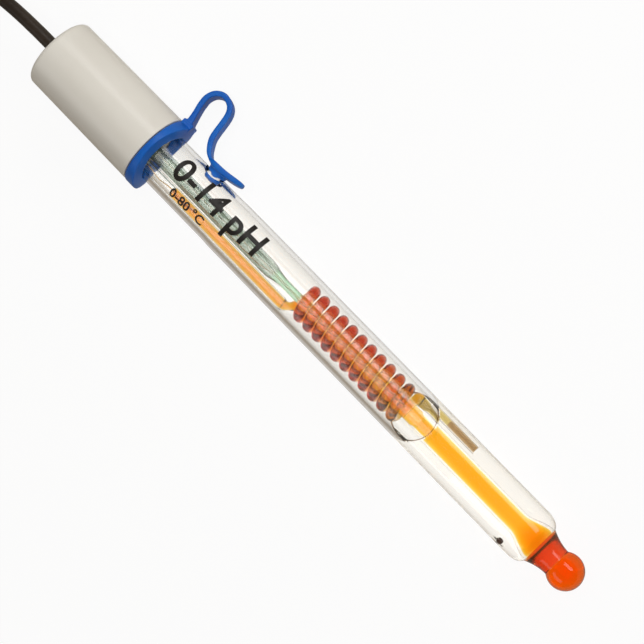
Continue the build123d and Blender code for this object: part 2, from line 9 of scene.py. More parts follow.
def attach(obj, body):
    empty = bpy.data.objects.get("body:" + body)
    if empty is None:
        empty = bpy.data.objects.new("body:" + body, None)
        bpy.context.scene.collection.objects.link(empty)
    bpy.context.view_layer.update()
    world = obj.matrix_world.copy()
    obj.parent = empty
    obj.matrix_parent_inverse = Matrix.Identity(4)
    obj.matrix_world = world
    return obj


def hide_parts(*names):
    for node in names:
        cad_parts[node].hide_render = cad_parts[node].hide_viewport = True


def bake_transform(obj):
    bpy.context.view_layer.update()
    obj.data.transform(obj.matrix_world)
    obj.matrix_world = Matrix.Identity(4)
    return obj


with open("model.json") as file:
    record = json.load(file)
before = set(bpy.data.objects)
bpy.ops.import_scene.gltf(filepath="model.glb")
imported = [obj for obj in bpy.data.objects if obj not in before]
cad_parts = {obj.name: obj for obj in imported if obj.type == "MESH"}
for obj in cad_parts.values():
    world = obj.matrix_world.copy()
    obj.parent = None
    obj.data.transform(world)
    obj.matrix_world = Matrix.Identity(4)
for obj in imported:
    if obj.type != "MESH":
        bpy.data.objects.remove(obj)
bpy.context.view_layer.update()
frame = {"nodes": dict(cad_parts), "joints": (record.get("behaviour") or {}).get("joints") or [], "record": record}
print("frame loaded with", len(frame["nodes"]), "nodes")

# The electrode's own axes, in millimetres from the cap's mouth: +X towards the bulb, +Y to the side where
# the strap stands out, +Z to the camera
bodyMiddle = 67.2  # where the glass body's mount sits along the electrode
glassMount = next(mount for mount in frame["record"]["mounts"] if mount["name"] == "glass_body")
flapHinge = next(joint for joint in frame["joints"] if joint["name"] == "flap_hinge")
alongAxis = Vector(glassMount["axis"]).normalized()
hingeAxis = Vector(flapHinge["axis"])
upAxis = (hingeAxis - alongAxis * hingeAxis.dot(alongAxis)).normalized()
sideAxis = upAxis.cross(alongAxis)
mouthPoint = Vector(glassMount["pos_m"]) - alongAxis * bodyMiddle / 1000
place = Matrix.Translation(mouthPoint) @ Matrix((alongAxis, sideAxis, upAxis)).transposed().to_4x4()
place = place @ Matrix.Scale(0.001, 4)


def atPlace(along, side=0.0, up=0.0):
    return place @ Vector((along, side, up))


# Small tools for materials

def linear(hexColour):
    values = [int(hexColour[start:start + 2], 16) / 255 for start in (1, 3, 5)]
    return [v / 12.92 if v <= 0.04045 else ((v + 0.055) / 1.055) ** 2.4 for v in values] + [1.0]


def addNode(tree, kind, inputs=None, **settings):
    node = tree.nodes.new(kind)
    for name, value in settings.items():
        setattr(node, name, value)
    for name, value in (inputs or {}).items():
        if isinstance(value, bpy.types.NodeSocket):
            tree.links.new(value, node.inputs[name])
        else:
            node.inputs[name].default_value = value
    return node


def emptyMaterial(name):
    material = bpy.data.materials.new(name)
    material.use_nodes = True
    material.node_tree.nodes.clear()
    return material, material.node_tree


def setStops(node, stops):
    elements = node.color_ramp.elements
    for index, (position, colour) in enumerate(stops):
        element = elements[index] if index < 2 else elements.new(position)
        element.position = position
        element.color = linear(colour)
    return node.outputs["Color"]


def grainMaterial(name, light, dark, roughness, grainMm, depthMm, coat=0.0, metallic=0.0, spread=0.25):
    # a solid finish: two close tones in soft clouds, and a fine grain in the surface
    material, tree = emptyMaterial(name)
    cloudMm = grainMm * 30
    where = addNode(tree, "ShaderNodeTexCoord").outputs["Object"]
    clouds = addNode(tree, "ShaderNodeTexNoise", {"Vector": where, "Scale": 1000 / cloudMm, "Detail": 4.0})
    grain = addNode(tree, "ShaderNodeTexNoise", {"Vector": where, "Scale": 1000 / grainMm, "Detail": 3.0})
    tones = addNode(tree, "ShaderNodeValToRGB", {"Fac": clouds.outputs["Fac"]})
    rough = addNode(tree, "ShaderNodeMapRange", {
        "Value": grain.outputs["Fac"], "To Min": roughness * 0.85, "To Max": roughness * 1.2})
    bump = addNode(tree, "ShaderNodeBump", {
        "Height": grain.outputs["Fac"], "Distance": depthMm / 1000, "Strength": 1.0})
    shader = addNode(tree, "ShaderNodeBsdfPrincipled", {
        "Base Color": setStops(tones, [(0.5 - spread, dark), (0.5 + spread, light)]),
        "Roughness": rough.outputs["Result"],
        "Metallic": metallic,
        "Coat Weight": coat,
        "Coat Roughness": 0.18,
        "Normal": bump.outputs["Normal"]})
    addNode(tree, "ShaderNodeOutputMaterial", {"Surface": shader.outputs["BSDF"]})
    return material


def glassMaterial(name, ior, edge="#FFFFFF", face="#FFFFFF", edgeShadePower=5.0, volume=None, see=1.0):
    # clear to the lamps' shadow rays, so that what lies inside is lit, and deeper in colour where the wall
    # is seen edge on, as painted shade; a volume is the colour and the density of what it soaks up
    material, tree = emptyMaterial(name)
    facing = addNode(tree, "ShaderNodeLayerWeight", {"Blend": 0.5}).outputs["Facing"]
    edgeShading = addNode(tree, "ShaderNodeMath", {0: facing, 1: edgeShadePower}, operation="POWER")
    tint = addNode(tree, "ShaderNodeValToRGB", {"Fac": edgeShading.outputs["Value"]})
    shader = addNode(tree, "ShaderNodeBsdfPrincipled", {
        "Base Color": setStops(tint, [(0.0, face), (1.0, edge)]),
        "Roughness": 0.0,
        "IOR": ior,
        "Transmission Weight": see})
    through = addNode(tree, "ShaderNodeBsdfTransparent", {"Color": (0.97, 0.97, 0.96, 1.0)})
    rays = addNode(tree, "ShaderNodeLightPath")
    mixed = addNode(tree, "ShaderNodeMixShader", {
        0: rays.outputs["Is Shadow Ray"], 1: shader.outputs["BSDF"], 2: through.outputs["BSDF"]})
    output = addNode(tree, "ShaderNodeOutputMaterial", {"Surface": mixed.outputs["Shader"]})
    if volume:
        colour, density = volume
        soak = addNode(tree, "ShaderNodeVolumeAbsorption", {"Color": (*colour, 1.0), "Density": density})
        tree.links.new(soak.outputs["Volume"], output.inputs["Volume"])
    return material


# Small tools for shapes, in millimetres along the electrode

def arc(along, radius, size, start, end, steps):
    angles = [math.radians(start + (end - start) * step / steps) for step in range(steps + 1)]
    return [(along + size * math.cos(angle), radius + size * math.sin(angle)) for angle in angles]


def ease(share):
    # slow, quick, slow from 0 to 1
    return share * share * (3 - 2 * share)


def between(start, end, share):
    return start + (end - start) * share


def smoothLine(points, steps):
    # a line through all the points, with as many stretches between two as told
    line = []
    last = len(points) - 1
    for index in range(last):
        four = [points[max(0, min(last, index + offset))] for offset in (-1, 0, 1, 2)]
        for step in range(steps):
            t = step / steps
            spot = []
            for a, b, c, d in zip(*four):
                square = 2 * a - 5 * b + 4 * c - d
                cube = 3 * b - a - 3 * c + d
                spot.append(0.5 * (2 * b + (c - a) * t + square * t**2 + cube * t**3))
            line.append(tuple(spot))
    return line + [tuple(points[-1])]


def turned(outline, segments=128, shape=None):
    # a closed outline of (along, radius) turned about the axis; a function of the angle makes it uneven
    shape = shape or bmesh.new()
    angles = [2 * math.pi * step / segments for step in range(segments)]
    columns = [outline(angle) if callable(outline) else outline for angle in angles]
    rings = []
    for points in zip(*columns):
        if points[0][1] < 1e-6:
            rings.append([shape.verts.new((points[0][0], 0, 0))])
            continue
        rings.append([
            shape.verts.new((along, radius * math.cos(angle), radius * math.sin(angle)))
            for (along, radius), angle in zip(points, angles)])
    faces = []
    for row, (near, far) in enumerate(zip(rings, rings[1:] + rings[:1])):
        for step in range(segments):
            spots = ((near, step), (near, step + 1), (far, step + 1), (far, step))
            corners = list(dict.fromkeys(ring[spot % len(ring)] for ring, spot in spots))
            if len(corners) > 2:
                faces.append((row, shape.faces.new(corners)))
    bmesh.ops.recalc_face_normals(shape, faces=[face for _, face in faces])
    return shape, faces


def addSweptSection(sections, shape):
    # a closed skin over sections that are lists of points, with both ends covered
    rows = [[shape.verts.new(point) for point in section] for section in sections]
    faces = [shape.faces.new(rows[0]), shape.faces.new(rows[-1])]
    for near, far in zip(rows, rows[1:]):
        for index in range(len(near)):
            after = (index + 1) % len(near)
            faces.append(shape.faces.new([near[index], near[after], far[after], far[index]]))
    bmesh.ops.recalc_face_normals(shape, faces=faces)


def putInScene(name, data):
    thing = bpy.data.objects.new(name, data)
    bpy.context.scene.collection.objects.link(thing)
    return thing


def meshFrom(name, shape):
    mesh = bpy.data.meshes.new(name)
    shape.to_mesh(mesh)
    shape.free()
    return mesh


def smoothButSharp(mesh, degrees):
    mesh.shade_smooth()
    mesh.set_sharp_from_angle(angle=math.radians(degrees))


def finishPiece(name, source, materials, body="electrode", stands=(), sharp=40, moved=place):
    # a mesh in millimetres becomes a piece in the frame, smooth but for its sharp edges
    if isinstance(source, bmesh.types.BMesh):
        mesh = meshFrom(name, source)
    else:
        mesh = source
        mesh.name = name
        mesh.materials.clear()
    mesh.transform(moved)
    for material in materials:
        mesh.materials.append(material)
    smoothButSharp(mesh, sharp)
    piece = putInScene(name, mesh)
    if body:
        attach(piece, body)
    if stands:
        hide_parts(*stands)
    return piece


def plainMesh(thing):
    # the object as a mesh, with its modifiers worked in
    bpy.context.view_layer.update()
    graph = bpy.context.evaluated_depsgraph_get()
    return bpy.data.meshes.new_from_object(thing.evaluated_get(graph), depsgraph=graph)


def removeThing(thing):
    data = thing.data
    bpy.data.objects.remove(thing)
    kept = bpy.data.curves if isinstance(data, bpy.types.Curve) else bpy.data.meshes
    kept.remove(data)


def turnedIntoMesh(thing):
    mesh = plainMesh(thing)
    removeThing(thing)
    return mesh


def setInput(modifier, tree, name, value):
    items = tree.interface.items_tree
    socket = next(item for item in items if item.name == name and item.in_out == "INPUT")
    modifier[socket.identifier] = value


def newTree(name, sizes):
    # sizes: input name to (socket kind, default)
    tree = bpy.data.node_groups.new(name, "GeometryNodeTree")
    tree.interface.new_socket("Geometry", in_out="INPUT", socket_type="NodeSocketGeometry")
    for title, (kind, default) in sizes.items():
        socket = tree.interface.new_socket(title, in_out="INPUT", socket_type=kind)
        if default is not None:
            socket.default_value = default
    tree.interface.new_socket("Geometry", in_out="OUTPUT", socket_type="NodeSocketGeometry")
    return tree, addNode(tree, "NodeGroupInput")


def endTree(tree, start, geometry):
    # every tree ends by making its copies real and giving them their finish
    real = addNode(tree, "GeometryNodeRealizeInstances", {"Geometry": geometry})
    dressed = addNode(tree, "GeometryNodeSetMaterial", {
        "Geometry": real.outputs["Geometry"], "Material": start.outputs["Material"]})
    addNode(tree, "NodeGroupOutput", {"Geometry": dressed.outputs["Geometry"]})
    return tree


def runTree(tree, thing, values):
    modifier = thing.modifiers.new(tree.name, "NODES")
    modifier.node_group = tree
    for name, value in values.items():
        setInput(modifier, tree, name, value)
    return turnedIntoMesh(thing)


# Camera, at the photograph's angle: it looks at a point of the axis from above, leaning to the bulb's end
cameraView = {
    "distance": 422.0,
    "leanDegrees": 8.84,
    "lookAt": 51.7,
    "alongToRight": 0.698,
    "alongDown": 0.716,
    "focalPixels": 2045.0,
    "imagePixels": 644,
    "offCentrePixels": 1.7,
}


def makeCamera(size):
    lean = math.radians(size["leanDegrees"])
    back = alongAxis * math.sin(lean) + upAxis * math.cos(lean)
    level = alongAxis * math.cos(lean) - upAxis * math.sin(lean)
    right = level * size["alongToRight"] + sideAxis * size["alongDown"]
    up = sideAxis * size["alongToRight"] - level * size["alongDown"]
    data = bpy.data.cameras.new("photoCamera")
    data.sensor_width = 36.0
    data.lens = size["focalPixels"] / size["imagePixels"] * data.sensor_width
    data.shift_x = -size["offCentrePixels"] / size["imagePixels"]
    data.shift_y = size["offCentrePixels"] / size["imagePixels"]
    data.clip_start = 0.01
    data.clip_end = 50.0
    camera = putInScene("photoCamera", data)
    axes = Matrix((right.normalized(), up.normalized(), back)).transposed().to_4x4()
    middle = atPlace(size["lookAt"]) + back * size["distance"] / 1000
    camera.matrix_world = Matrix.Translation(middle) @ axes
    bpy.context.scene.camera = camera


makeCamera(cameraView)

# Floor, world and lamps. What metal, shine and glass show of the room is set apart from what the camera sees
studio = {
    "floorSize": 6.0,
    "floorShare": 0.92,  # how much of the floor's white is its own, the rest takes the shadow
    # where the floor that glass shows goes from painted shade to white, in metres
    "leftDusk": (-0.028, -0.010),
    "rightDusk": (0.016, 0.000),
    "endDusk": (0.105, 0.072),
    # a patch of painted shade under the right of the lower body, again from dusky to white
    "shadePatchAcross": (-0.0038, -0.0048),
    "shadePatchAlong": (0.036, 0.029),
    "paintedShadeTone": "#9A8E7E",
    "shineShare": 0.25,  # how much of the floor's white shows in the shine of glass and metal
    "worldTone": "#77716A",
    "roomTone": "#4A443D",
    "farTone": "#E4DCD0",
}
# the angle is from straight above the glass towards the strap's side
lamps = {
    "main": {
        "power": 0.95, "size": (0.17, 0.6), "angle": 33.0, "distance": 0.5, "shines": True, "lights": True},
    "fill": {
        "power": 1.9, "size": (0.35, 0.6), "angle": -6.0, "distance": 0.62, "shines": False, "lights": True},
    "card": {
        "power": 0.38, "size": (0.2, 0.6), "angle": -66.0, "distance": 0.5, "shines": True, "lights": False},
}


def seenNotLit(tree, rays):
    # 1 for the camera and for rays that metal and glass send on, 0 for the light that falls on things
    seen = rays.outputs["Is Camera Ray"]
    for kind in ("Is Glossy Ray", "Is Transmission Ray"):
        either = addNode(tree, "ShaderNodeMath", {0: seen, 1: rays.outputs[kind]}, operation="MAXIMUM")
        seen = either.outputs["Value"]
    return seen


def floorWhite(tree, rays, size):
    # how white the floor is at each spot, for each kind of ray; what glass and shine see of it darkens to painted
    # shade in zones
    where = addNode(tree, "ShaderNodeTexCoord").outputs["Object"]
    sides = addNode(tree, "ShaderNodeSeparateXYZ", {"Vector": where})
    zones = {"leftDusk": "Y", "rightDusk": "Y", "endDusk": "X", "shadePatchAcross": "Y", "shadePatchAlong": "X"}
    lit = {}
    for zone, side in zones.items():
        dusky, bright = size[zone]
        lit[zone] = addNode(tree, "ShaderNodeMapRange", {
            "Value": sides.outputs[side], "From Min": dusky, "From Max": bright},
            interpolation_type="SMOOTHSTEP").outputs["Result"]
    # the patch of painted shade under the lower body
    card = addNode(tree, "ShaderNodeMath", {0: lit["shadePatchAcross"], 1: lit["shadePatchAlong"]}, operation="MAXIMUM")
    shine = addNode(tree, "ShaderNodeMapRange", {
        "Value": rays.outputs["Is Reflection Ray"], "To Min": 1.0, "To Max": size["shineShare"]})
    white = lit["leftDusk"]
    steps = [
        ("MINIMUM", lit["rightDusk"]), ("MINIMUM", lit["endDusk"]), ("MINIMUM", card.outputs["Value"]),
        ("MULTIPLY", shine.outputs["Result"]), ("MAXIMUM", rays.outputs["Is Camera Ray"])]
    for operation, other in steps:
        white = addNode(tree, "ShaderNodeMath", {0: white, 1: other}, operation=operation).outputs["Value"]
    return white


def makeFloor(size):
    # painted board: matt white that keeps a faint shadow, with zones of painted shade that only glass and shine
    # see
    material, tree = emptyMaterial("mattWhiteBoard")
    rays = addNode(tree, "ShaderNodeLightPath")
    paint = addNode(tree, "ShaderNodeBsdfDiffuse", {"Color": linear("#F4F3F1")})
    tone = addNode(tree, "ShaderNodeMix", {
        0: floorWhite(tree, rays, size), 6: linear(size["paintedShadeTone"]), 7: linear("#FFFFFF")},
        data_type="RGBA")
    glow = addNode(tree, "ShaderNodeEmission", {"Color": tone.outputs[2], "Strength": 1.0})
    seen = seenNotLit(tree, rays)
    share = addNode(tree, "ShaderNodeMath", {0: seen, 1: size["floorShare"]}, operation="MULTIPLY")
    mixed = addNode(tree, "ShaderNodeMixShader", {
        0: share.outputs["Value"], 1: paint.outputs["BSDF"], 2: glow.outputs["Emission"]})
    addNode(tree, "ShaderNodeOutputMaterial", {"Surface": mixed.outputs["Shader"]})
    half = size["floorSize"] / 2
    corners = [(-half, -half, 0), (half, -half, 0), (half, half, 0), (-half, half, 0)]
    mesh = bpy.data.meshes.new("floor")
    mesh.from_pydata(corners, [], [(0, 1, 2, 3)])
    mesh.materials.append(material)
    floor = putInScene("floor", mesh)


def makeWorld(size):
    world = bpy.data.worlds.new("studioRoom")
    world.use_nodes = True
    tree = world.node_tree
    tree.nodes.clear()
    rays = addNode(tree, "ShaderNodeLightPath")
    tone = linear(size["worldTone"])
    seenTones = {"Glossy": size["roomTone"], "Transmission": size["farTone"], "Camera": "#FFFFFF"}
    for kind, seenTone in seenTones.items():
        tone = addNode(tree, "ShaderNodeMix", {
            0: rays.outputs["Is " + kind + " Ray"], 6: tone, 7: linear(seenTone)},
            data_type="RGBA").outputs[2]
    room = addNode(tree, "ShaderNodeBackground", {"Color": tone, "Strength": 1.0})
    addNode(tree, "ShaderNodeOutputWorld", {"Surface": room.outputs["Background"]})
    bpy.context.scene.world = world


def makeSoftbox(name, lamp):
    data = bpy.data.lights.new(name, "AREA")
    data.shape = "RECTANGLE"
    data.size, data.size_y = lamp["size"]
    data.energy = lamp["power"]
    softbox = putInScene(name, data)
    angle = math.radians(lamp["angle"])
    towards = (upAxis * math.cos(angle) + sideAxis * math.sin(angle)).normalized()
    across = towards.cross(alongAxis).normalized()
    lengthwise = across.cross(towards).normalized()
    middle = atPlace(cameraView["lookAt"]) + towards * lamp["distance"]
    axes = Matrix((across, lengthwise, towards)).transposed().to_4x4()
    softbox.matrix_world = Matrix.Translation(middle) @ axes
    softbox.visible_glossy = lamp["shines"]
    softbox.visible_diffuse = lamp["lights"]


def makeLight():
    makeFloor(studio)
    makeWorld(studio)
    for name, lamp in lamps.items():
        makeSoftbox(name + "Softbox", lamp)
    scene = bpy.context.scene
    scene.view_settings.view_transform = "Standard"
    scene.cycles.max_bounces = 32
    scene.cycles.transmission_bounces = 32
    scene.cycles.transparent_max_bounces = 32


makeLight()
print("camera and light set")

# Cable: soft PVC jacket, extruded, dark brown-black with a satin gloss
cable = {
    "diameter": 3.0,
    "exit": (-78.7716, -5.2091, 9.4773),
    "lead": [(-93.2674, -5.2091, 9.8273), (-103.2716, -9.0091, 7.7)],
    "coilStart": (-114.1716, -9.2091),
    "straight": 58.0,
    "rowRadii": {"O": 11.0, "I": 8.0},
    "rowHeights": {"T": 7.5, "C": 4.5, "B": 1.5},
    "turns": ["OT", "IT", "IC", "IB", "OB", "OC"],
    "pointsPerBend": 8,
    "tail": [(-182.6716, -9.1091, 4.5), (-194.1716, -6.4091, 7.05)],
    "plugEnd": (-205.1716, -6.2091, 7.25),
    "length": 1.0,
}


def coilPoints(size):
    # the turns of the put-away coil, each crossing to the next one's place along its far side
    points = []
    startAlong, startSide = size["coilStart"]
    middle = startSide + size["rowRadii"]["O"]
    farAlong = startAlong - size["straight"]
    bends = size["pointsPerBend"]
    spread = 1 / math.cos(math.pi / 2 / bends)  # control points lie a little outside their bends
    angles = [math.pi * (step + 0.5) / bends for step in range(bends)]
    shares = [0.0, 0.25, 0.5, 0.75, 1.0]
    places = [(size["rowRadii"][turn[0]], size["rowHeights"][turn[1]]) for turn in size["turns"]]
    for index, (radius, height) in enumerate(places):
        points += [(startAlong - size["straight"] * share, middle - radius, height) for share in shares]
        if index == len(places) - 1:
            break
        nextRadius, nextHeight = places[index + 1]
        for angle in angles:
            reach = radius * spread
            points.append((farAlong - reach * math.sin(angle), middle - reach * math.cos(angle), height))
        for share in shares:
            points.append((
                farAlong + size["straight"] * share,
                middle + between(radius, nextRadius, ease(share)),
                between(height, nextHeight, ease(share))))
        for angle in angles:
            reach = nextRadius * spread
            along = startAlong + reach * math.sin(angle)
            points.append((along, middle + reach * math.cos(angle), nextHeight))
    return points


def makeCable(size):
    route = [size["exit"], *size["lead"], *coilPoints(size), *size["tail"], size["plugEnd"]]
    curve = bpy.data.curves.new("cable", "CURVE")
    curve.dimensions = "3D"
    curve.bevel_depth = size["diameter"] / 2000
    curve.bevel_resolution = 6
    curve.resolution_u = 6
    curve.use_fill_caps = True
    line = curve.splines.new("NURBS")
    line.points.add(len(route) - 1)
    for point, where in zip(line.points, route):
        point.co = (*(value / 1000 for value in where), 1.0)
    line.order_u = 3
    line.use_endpoint_u = True
    curve.materials.append(grainMaterial("extrudedPvcJacket", "#3A2F25", "#2A221B", 0.42, 0.25, 0.006))
    piece = putInScene("cable", curve)
    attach(piece, "electrode")
    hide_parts("cable_lead", "cable_coil", "cable_tail")
    return piece


cablePiece = makeCable(cable)
print("cable laid")

# Cap: moulded ABS, cream, satin, with a slow gloss and the faint sink marks of the mould
cap = {
    "length": 30.0, "topRadius": 8.35, "mouthRadius": 8.5, "wall": 1.5, "endWall": 2.2, "glandHole": 2.85,
    "grip": 5.96, "collarLength": 9.0, "edgeRound": 1.05, "edgeFlat": 0.6, "draft": 0.003,
    "mouthRound": 0.25, "mouthFlat": 0.5, "gripRim": 0.3, "gripRound": 0.2,
}


def makeCap(size):
    top, mouth, end = size["topRadius"], size["mouthRadius"], -size["length"]
    edge, lip, rim = size["edgeRound"], size["mouthRound"], size["gripRound"]
    inside, floorAt = top - size["wall"], end + size["endWall"]
    outline = [
        (end, size["glandHole"]),
        (end, top - edge - size["edgeFlat"]),
        *arc(end + edge, top - edge, edge, 180, 90, 10),
        (end + edge + size["edgeFlat"], top + size["draft"]),
        (-lip - size["mouthFlat"], mouth),
        *arc(-lip, mouth - lip, lip, 90, 0, 6),
        (0.0, size["grip"] + size["gripRim"]),
        *arc(-rim, size["grip"] + rim, rim, 0, -90, 3),
        (-size["collarLength"], size["grip"]),
        (-size["collarLength"], inside),
        (floorAt, inside),
        (floorAt, size["glandHole"]),
    ]
    shape, _ = turned(outline, 192)
    creamAbs = grainMaterial(
        "mouldedCreamAbs", "#E7E4DB", "#E0DCD2", 0.36, 0.5, 0.003, coat=0.15, spread=0.4)
    finishPiece("cap_shell", shape, [creamAbs], stands=["cap"])


makeCap(cap)

# Gland: low dome of black rubber, with a soft sheen on its brow
gland = {
    "foot": -30.02, "height": 1.5, "radius": 3.35, "lipRound": 0.35, "mouth": 1.55, "mouthRim": 1.85,
    "brow": [(0.05, 2.2), (0.45, 2.9)],  # down from the face, out from the axis
    "bore": 1.52, "boreChamfer": 0.1, "stemRadius": 2.8, "stemReach": 3.2,
}


def makeGland(size):
    foot, face = size["foot"], size["foot"] - size["height"]
    brow = [(face + down, out) for down, out in size["brow"]]
    outline = [
        (face, size["mouth"]),
        (face, size["mouthRim"]),
        *smoothLine([*brow, (foot - size["lipRound"], size["radius"])], 5),
        (foot, size["radius"]),
        (foot, size["stemRadius"]),
        (foot + size["stemReach"], size["stemRadius"]),
        (foot + size["stemReach"], size["bore"]),
        (face + size["boreChamfer"], size["bore"]),
    ]
    shape, _ = turned(outline, 96)
    blackRubber = grainMaterial("mouldedBlackRubber", "#24221F", "#171614", 0.5, 0.2, 0.004)
    finishPiece("gland_dome", shape, [blackRubber], stands=["cable_gland"])


makeGland(gland)
print("cap and gland made")

# Blown glass: outer body, ring seal, neck, bulb and inner stem are one piece of glass
glass = {
    "top": -18.0, "topRadius": 5.9, "radius": 6.0, "wall": 0.9, "widensAt": 21.0, "widensOver": 2.0,
    "bodyLength": 111.4, "shoulderLength": 3.4, "shoulderBend": 0.86, "innerLag": 0.3, "wedgeDepth": 0.45,
    "neckRadius": 4.45, "neckLength": 4.9, "neckEndRadius": 3.2, "neckWall": 0.75, "neckBend": 1.9,
    "sealRadius": 3.7, "bulbRadius": 4.0, "bulbWall": 0.4,
    "stemTop": 69.6, "stemRound": 1.0, "stemRadius": 1.9, "stemBore": 1.425, "boreTop": 70.5,
    "boreRound": 0.9,
    "flareLength": 6.4, "flareBend": 1.9,
    "fineFrom": 104.4, "fineStep": 0.4, "fineRows": 17,  # close rings where the bead over the junction is
    "holeAt": 13.2, "holeRadius": 2.75, "segments": 160, "sharp": 50,
    # which faces count as wet: short of the neck, and further in than the body's and the shoulder's outside
    "wetStop": 0.2, "wetSkin": 0.7, "shoulderLead": 0.4, "sealRim": 0.55,
}
solution = {
    "level": 78.5, "slant": 47.0, "gap": 0.02, "meniscus": 0.3, "meniscusReach": 0.4, "stemShare": 0.6,
    "shadedBrimWidth": 0.34, "surfaceSteps": 16,
}
# Junction: a ground plug of brown porous ceramic through the wall
junction = {"radius": 0.58, "turn": 152.0, "along": 108.7, "inner": 5.05, "outer": 6.22, "edge": 0.1}
# the bead of glass that is melted over the junction, a little ragged, in a shallow ring
bead = {
    "height": 0.34, "reach": 1.25, "ragged": [(0.25, 3, 0.0), (0.12, 7, 1.0)],
    "ringHeight": 0.07, "ringRadius": 2.0, "ringWidth": 0.35, "limit": 4.0, "skin": 0.6,
}
slope = math.tan(math.radians(solution["slant"]))
neckStart = glass["bodyLength"] + glass["shoulderLength"]
neckEnd = neckStart + glass["neckLength"]
bulbCentre = neckEnd + math.sqrt(glass["bulbRadius"] ** 2 - glass["neckEndRadius"] ** 2)
flareStart = neckStart - glass["flareLength"]
wedgeTip = neckStart - glass["wedgeDepth"]

# Flame-worked borosilicate: clear, with painted shade in warm grey at its edges where it meets air, nearly
# lost against a liquid, and painted shade in dark red at its edges over the dyed solution
glassFinishes = {
    "air": glassMaterial("flameWorkedGlass", 1.47, edge="#584C40", face="#FFFEFB", edgeShadePower=3.0),
    "wet": glassMaterial("glassAgainstSolution", 1.097, edge="#B09A84", face="#FFFEFB", edgeShadePower=8.0),
    "stemBore": glassMaterial("glassAgainstDye", 1.10, edge="#E8B070", edgeShadePower=6.0),
    "bulb": glassMaterial("glassOverDye", 1.47, edge="#2A0604", face="#FFF8F4", edgeShadePower=1.6),
    "neckBore": glassMaterial("neckGlassAgainstDye", 1.10, edge="#B8502E", face="#FFF0E8", edgeShadePower=1.8),
    "neck": glassMaterial("neckGlassOverDye", 1.47, edge="#6E1C0A", face="#F58A54", edgeShadePower=1.3, see=0.8),
}
glassIndex = {name: index for index, name in enumerate(glassFinishes)}


def shoulderLine(start, end, radius, endRadius, steps=14):
    # a quarter of an ellipse that stops short of square, from straight along the tube to steep at the seal
    whole = math.pi / 2 * glass["shoulderBend"]
    points = []
    for step in range(steps + 1):
        angle = whole * step / steps
        points.append((
            start + (end - start) * math.sin(angle) / math.sin(whole),
            radius - (radius - endRadius) * (1 - math.cos(angle)) / (1 - math.cos(whole))))
    return points


def flareLine(radius, endRadius, end, steps=14):
    # the stem opening out like a small trumpet, nearly straight after its first bend
    bend = glass["flareBend"]
    points = []
    for step in range(steps + 1):
        t = step / steps
        rise = t * t * (bend - (bend - 1) * t)
        points.append((between(flareStart, end, t), between(radius, endRadius, rise)))
    return points


def ballLine(radius, edgeRadius, steps):
    first = math.pi - math.asin(edgeRadius / radius)
    angles = [first * (1 - step / steps) for step in range(steps + 1)]
    return [(bulbCentre + radius * math.cos(angle), max(0.0, radius * math.sin(angle))) for angle in angles]


def neckLine(lip, end, steps=12):
    # concave: quick at the seal, then nearly level towards the bulb
    points = []
    for step in range(steps + 1):
        t = step / steps
        fall = (1 - t) ** glass["neckBend"]
        points.append((neckStart + glass["neckLength"] * t, between(end, lip, fall)))
    return points


def outerLine(size):
    widened = size["widensAt"] + size["widensOver"]
    line = [(size["top"], size["topRadius"] - size["wall"]), (size["top"], size["topRadius"])]
    line += [(size["widensAt"], size["topRadius"])]
    line += [(along, size["radius"]) for along in (widened, 60.0, 104.0)]
    line += [(size["fineFrom"] + size["fineStep"] * row, size["radius"]) for row in range(size["fineRows"])]
    line += shoulderLine(size["bodyLength"], neckStart, size["radius"], size["neckRadius"])
    line += neckLine(size["neckRadius"], size["neckEndRadius"])[1:]
    return line + ballLine(size["bulbRadius"], size["neckEndRadius"], 28)[1:]


def boreLine(size):
    # from the bulb's inside back up the neck and the stem
    bore, neckBore, rounded = size["stemBore"], size["sealRadius"] - size["neckWall"], size["boreRound"]
    mouthRadius = size["bulbRadius"] - size["bulbWall"]
    innerEdge = math.sqrt(mouthRadius**2 - (bulbCentre - neckEnd) ** 2)
    line = ballLine(mouthRadius, innerEdge, 26)[::-1]
    line += flareLine(bore, neckBore, neckStart)[::-1]
    line += [(80.0, bore), (71.6, bore)]
    line += arc(size["boreTop"] + rounded, bore - rounded, rounded, 90, 180, 6)[1:]
    return line + [(size["boreTop"], 0.0)]


def stemLine(size):
    radius, rounded = size["stemRadius"], size["stemRound"]
    line = [(size["stemTop"], 0.0), *arc(size["stemTop"] + rounded, radius - rounded, rounded, 180, 90, 6)]
    line += [(80.0, radius)]
    return line + flareLine(radius, size["sealRadius"], wedgeTip)


def innerWallLine(size):
    # from the seal back up the inside of the body
    inner, topInner = size["radius"] - size["wall"], size["topRadius"] - size["wall"]
    line = shoulderLine(size["bodyLength"] - size["innerLag"], wedgeTip, inner, size["sealRadius"])[::-1][1:]
    line += [(along, inner) for along in (90.0, 60.0, size["widensAt"] + size["widensOver"])]
    return line + [(size["widensAt"], topInner)]


def raiseBead(shape, size):
    turn = math.radians(junction["turn"])
    normal = Vector((0, math.cos(turn), math.sin(turn)))
    middle = Vector((junction["along"], 0, 0)) + normal * glass["radius"]
    for vertex in shape.verts:
        away = vertex.co - middle
        if vertex.co.yz.length < glass["radius"] - size["skin"] or away.length > size["limit"]:
            continue
        angle = math.atan2(away.x, away.cross(normal).x)
        waves = [rise * math.sin(times * angle + shift) for rise, times, shift in size["ragged"]]
        reach = size["reach"] + sum(waves)
        hill = math.exp(-(away.length / reach) ** 4)
        ring = math.exp(-((away.length - size["ringRadius"]) / size["ringWidth"]) ** 2)
        vertex.co += normal * (size["height"] * hill + size["ringHeight"] * ring)


def isWet(point):
    return point.x > solution["level"] + point.z * slope


def cutAtSurface(shape, geometry):
    # an edge round the glass where the solution's surface meets it
    bmesh.ops.bisect_plane(
        shape, geom=geometry, dist=1e-5, plane_co=(solution["level"], 0, 0),
        plane_no=Vector((1, 0, -slope)).normalized())


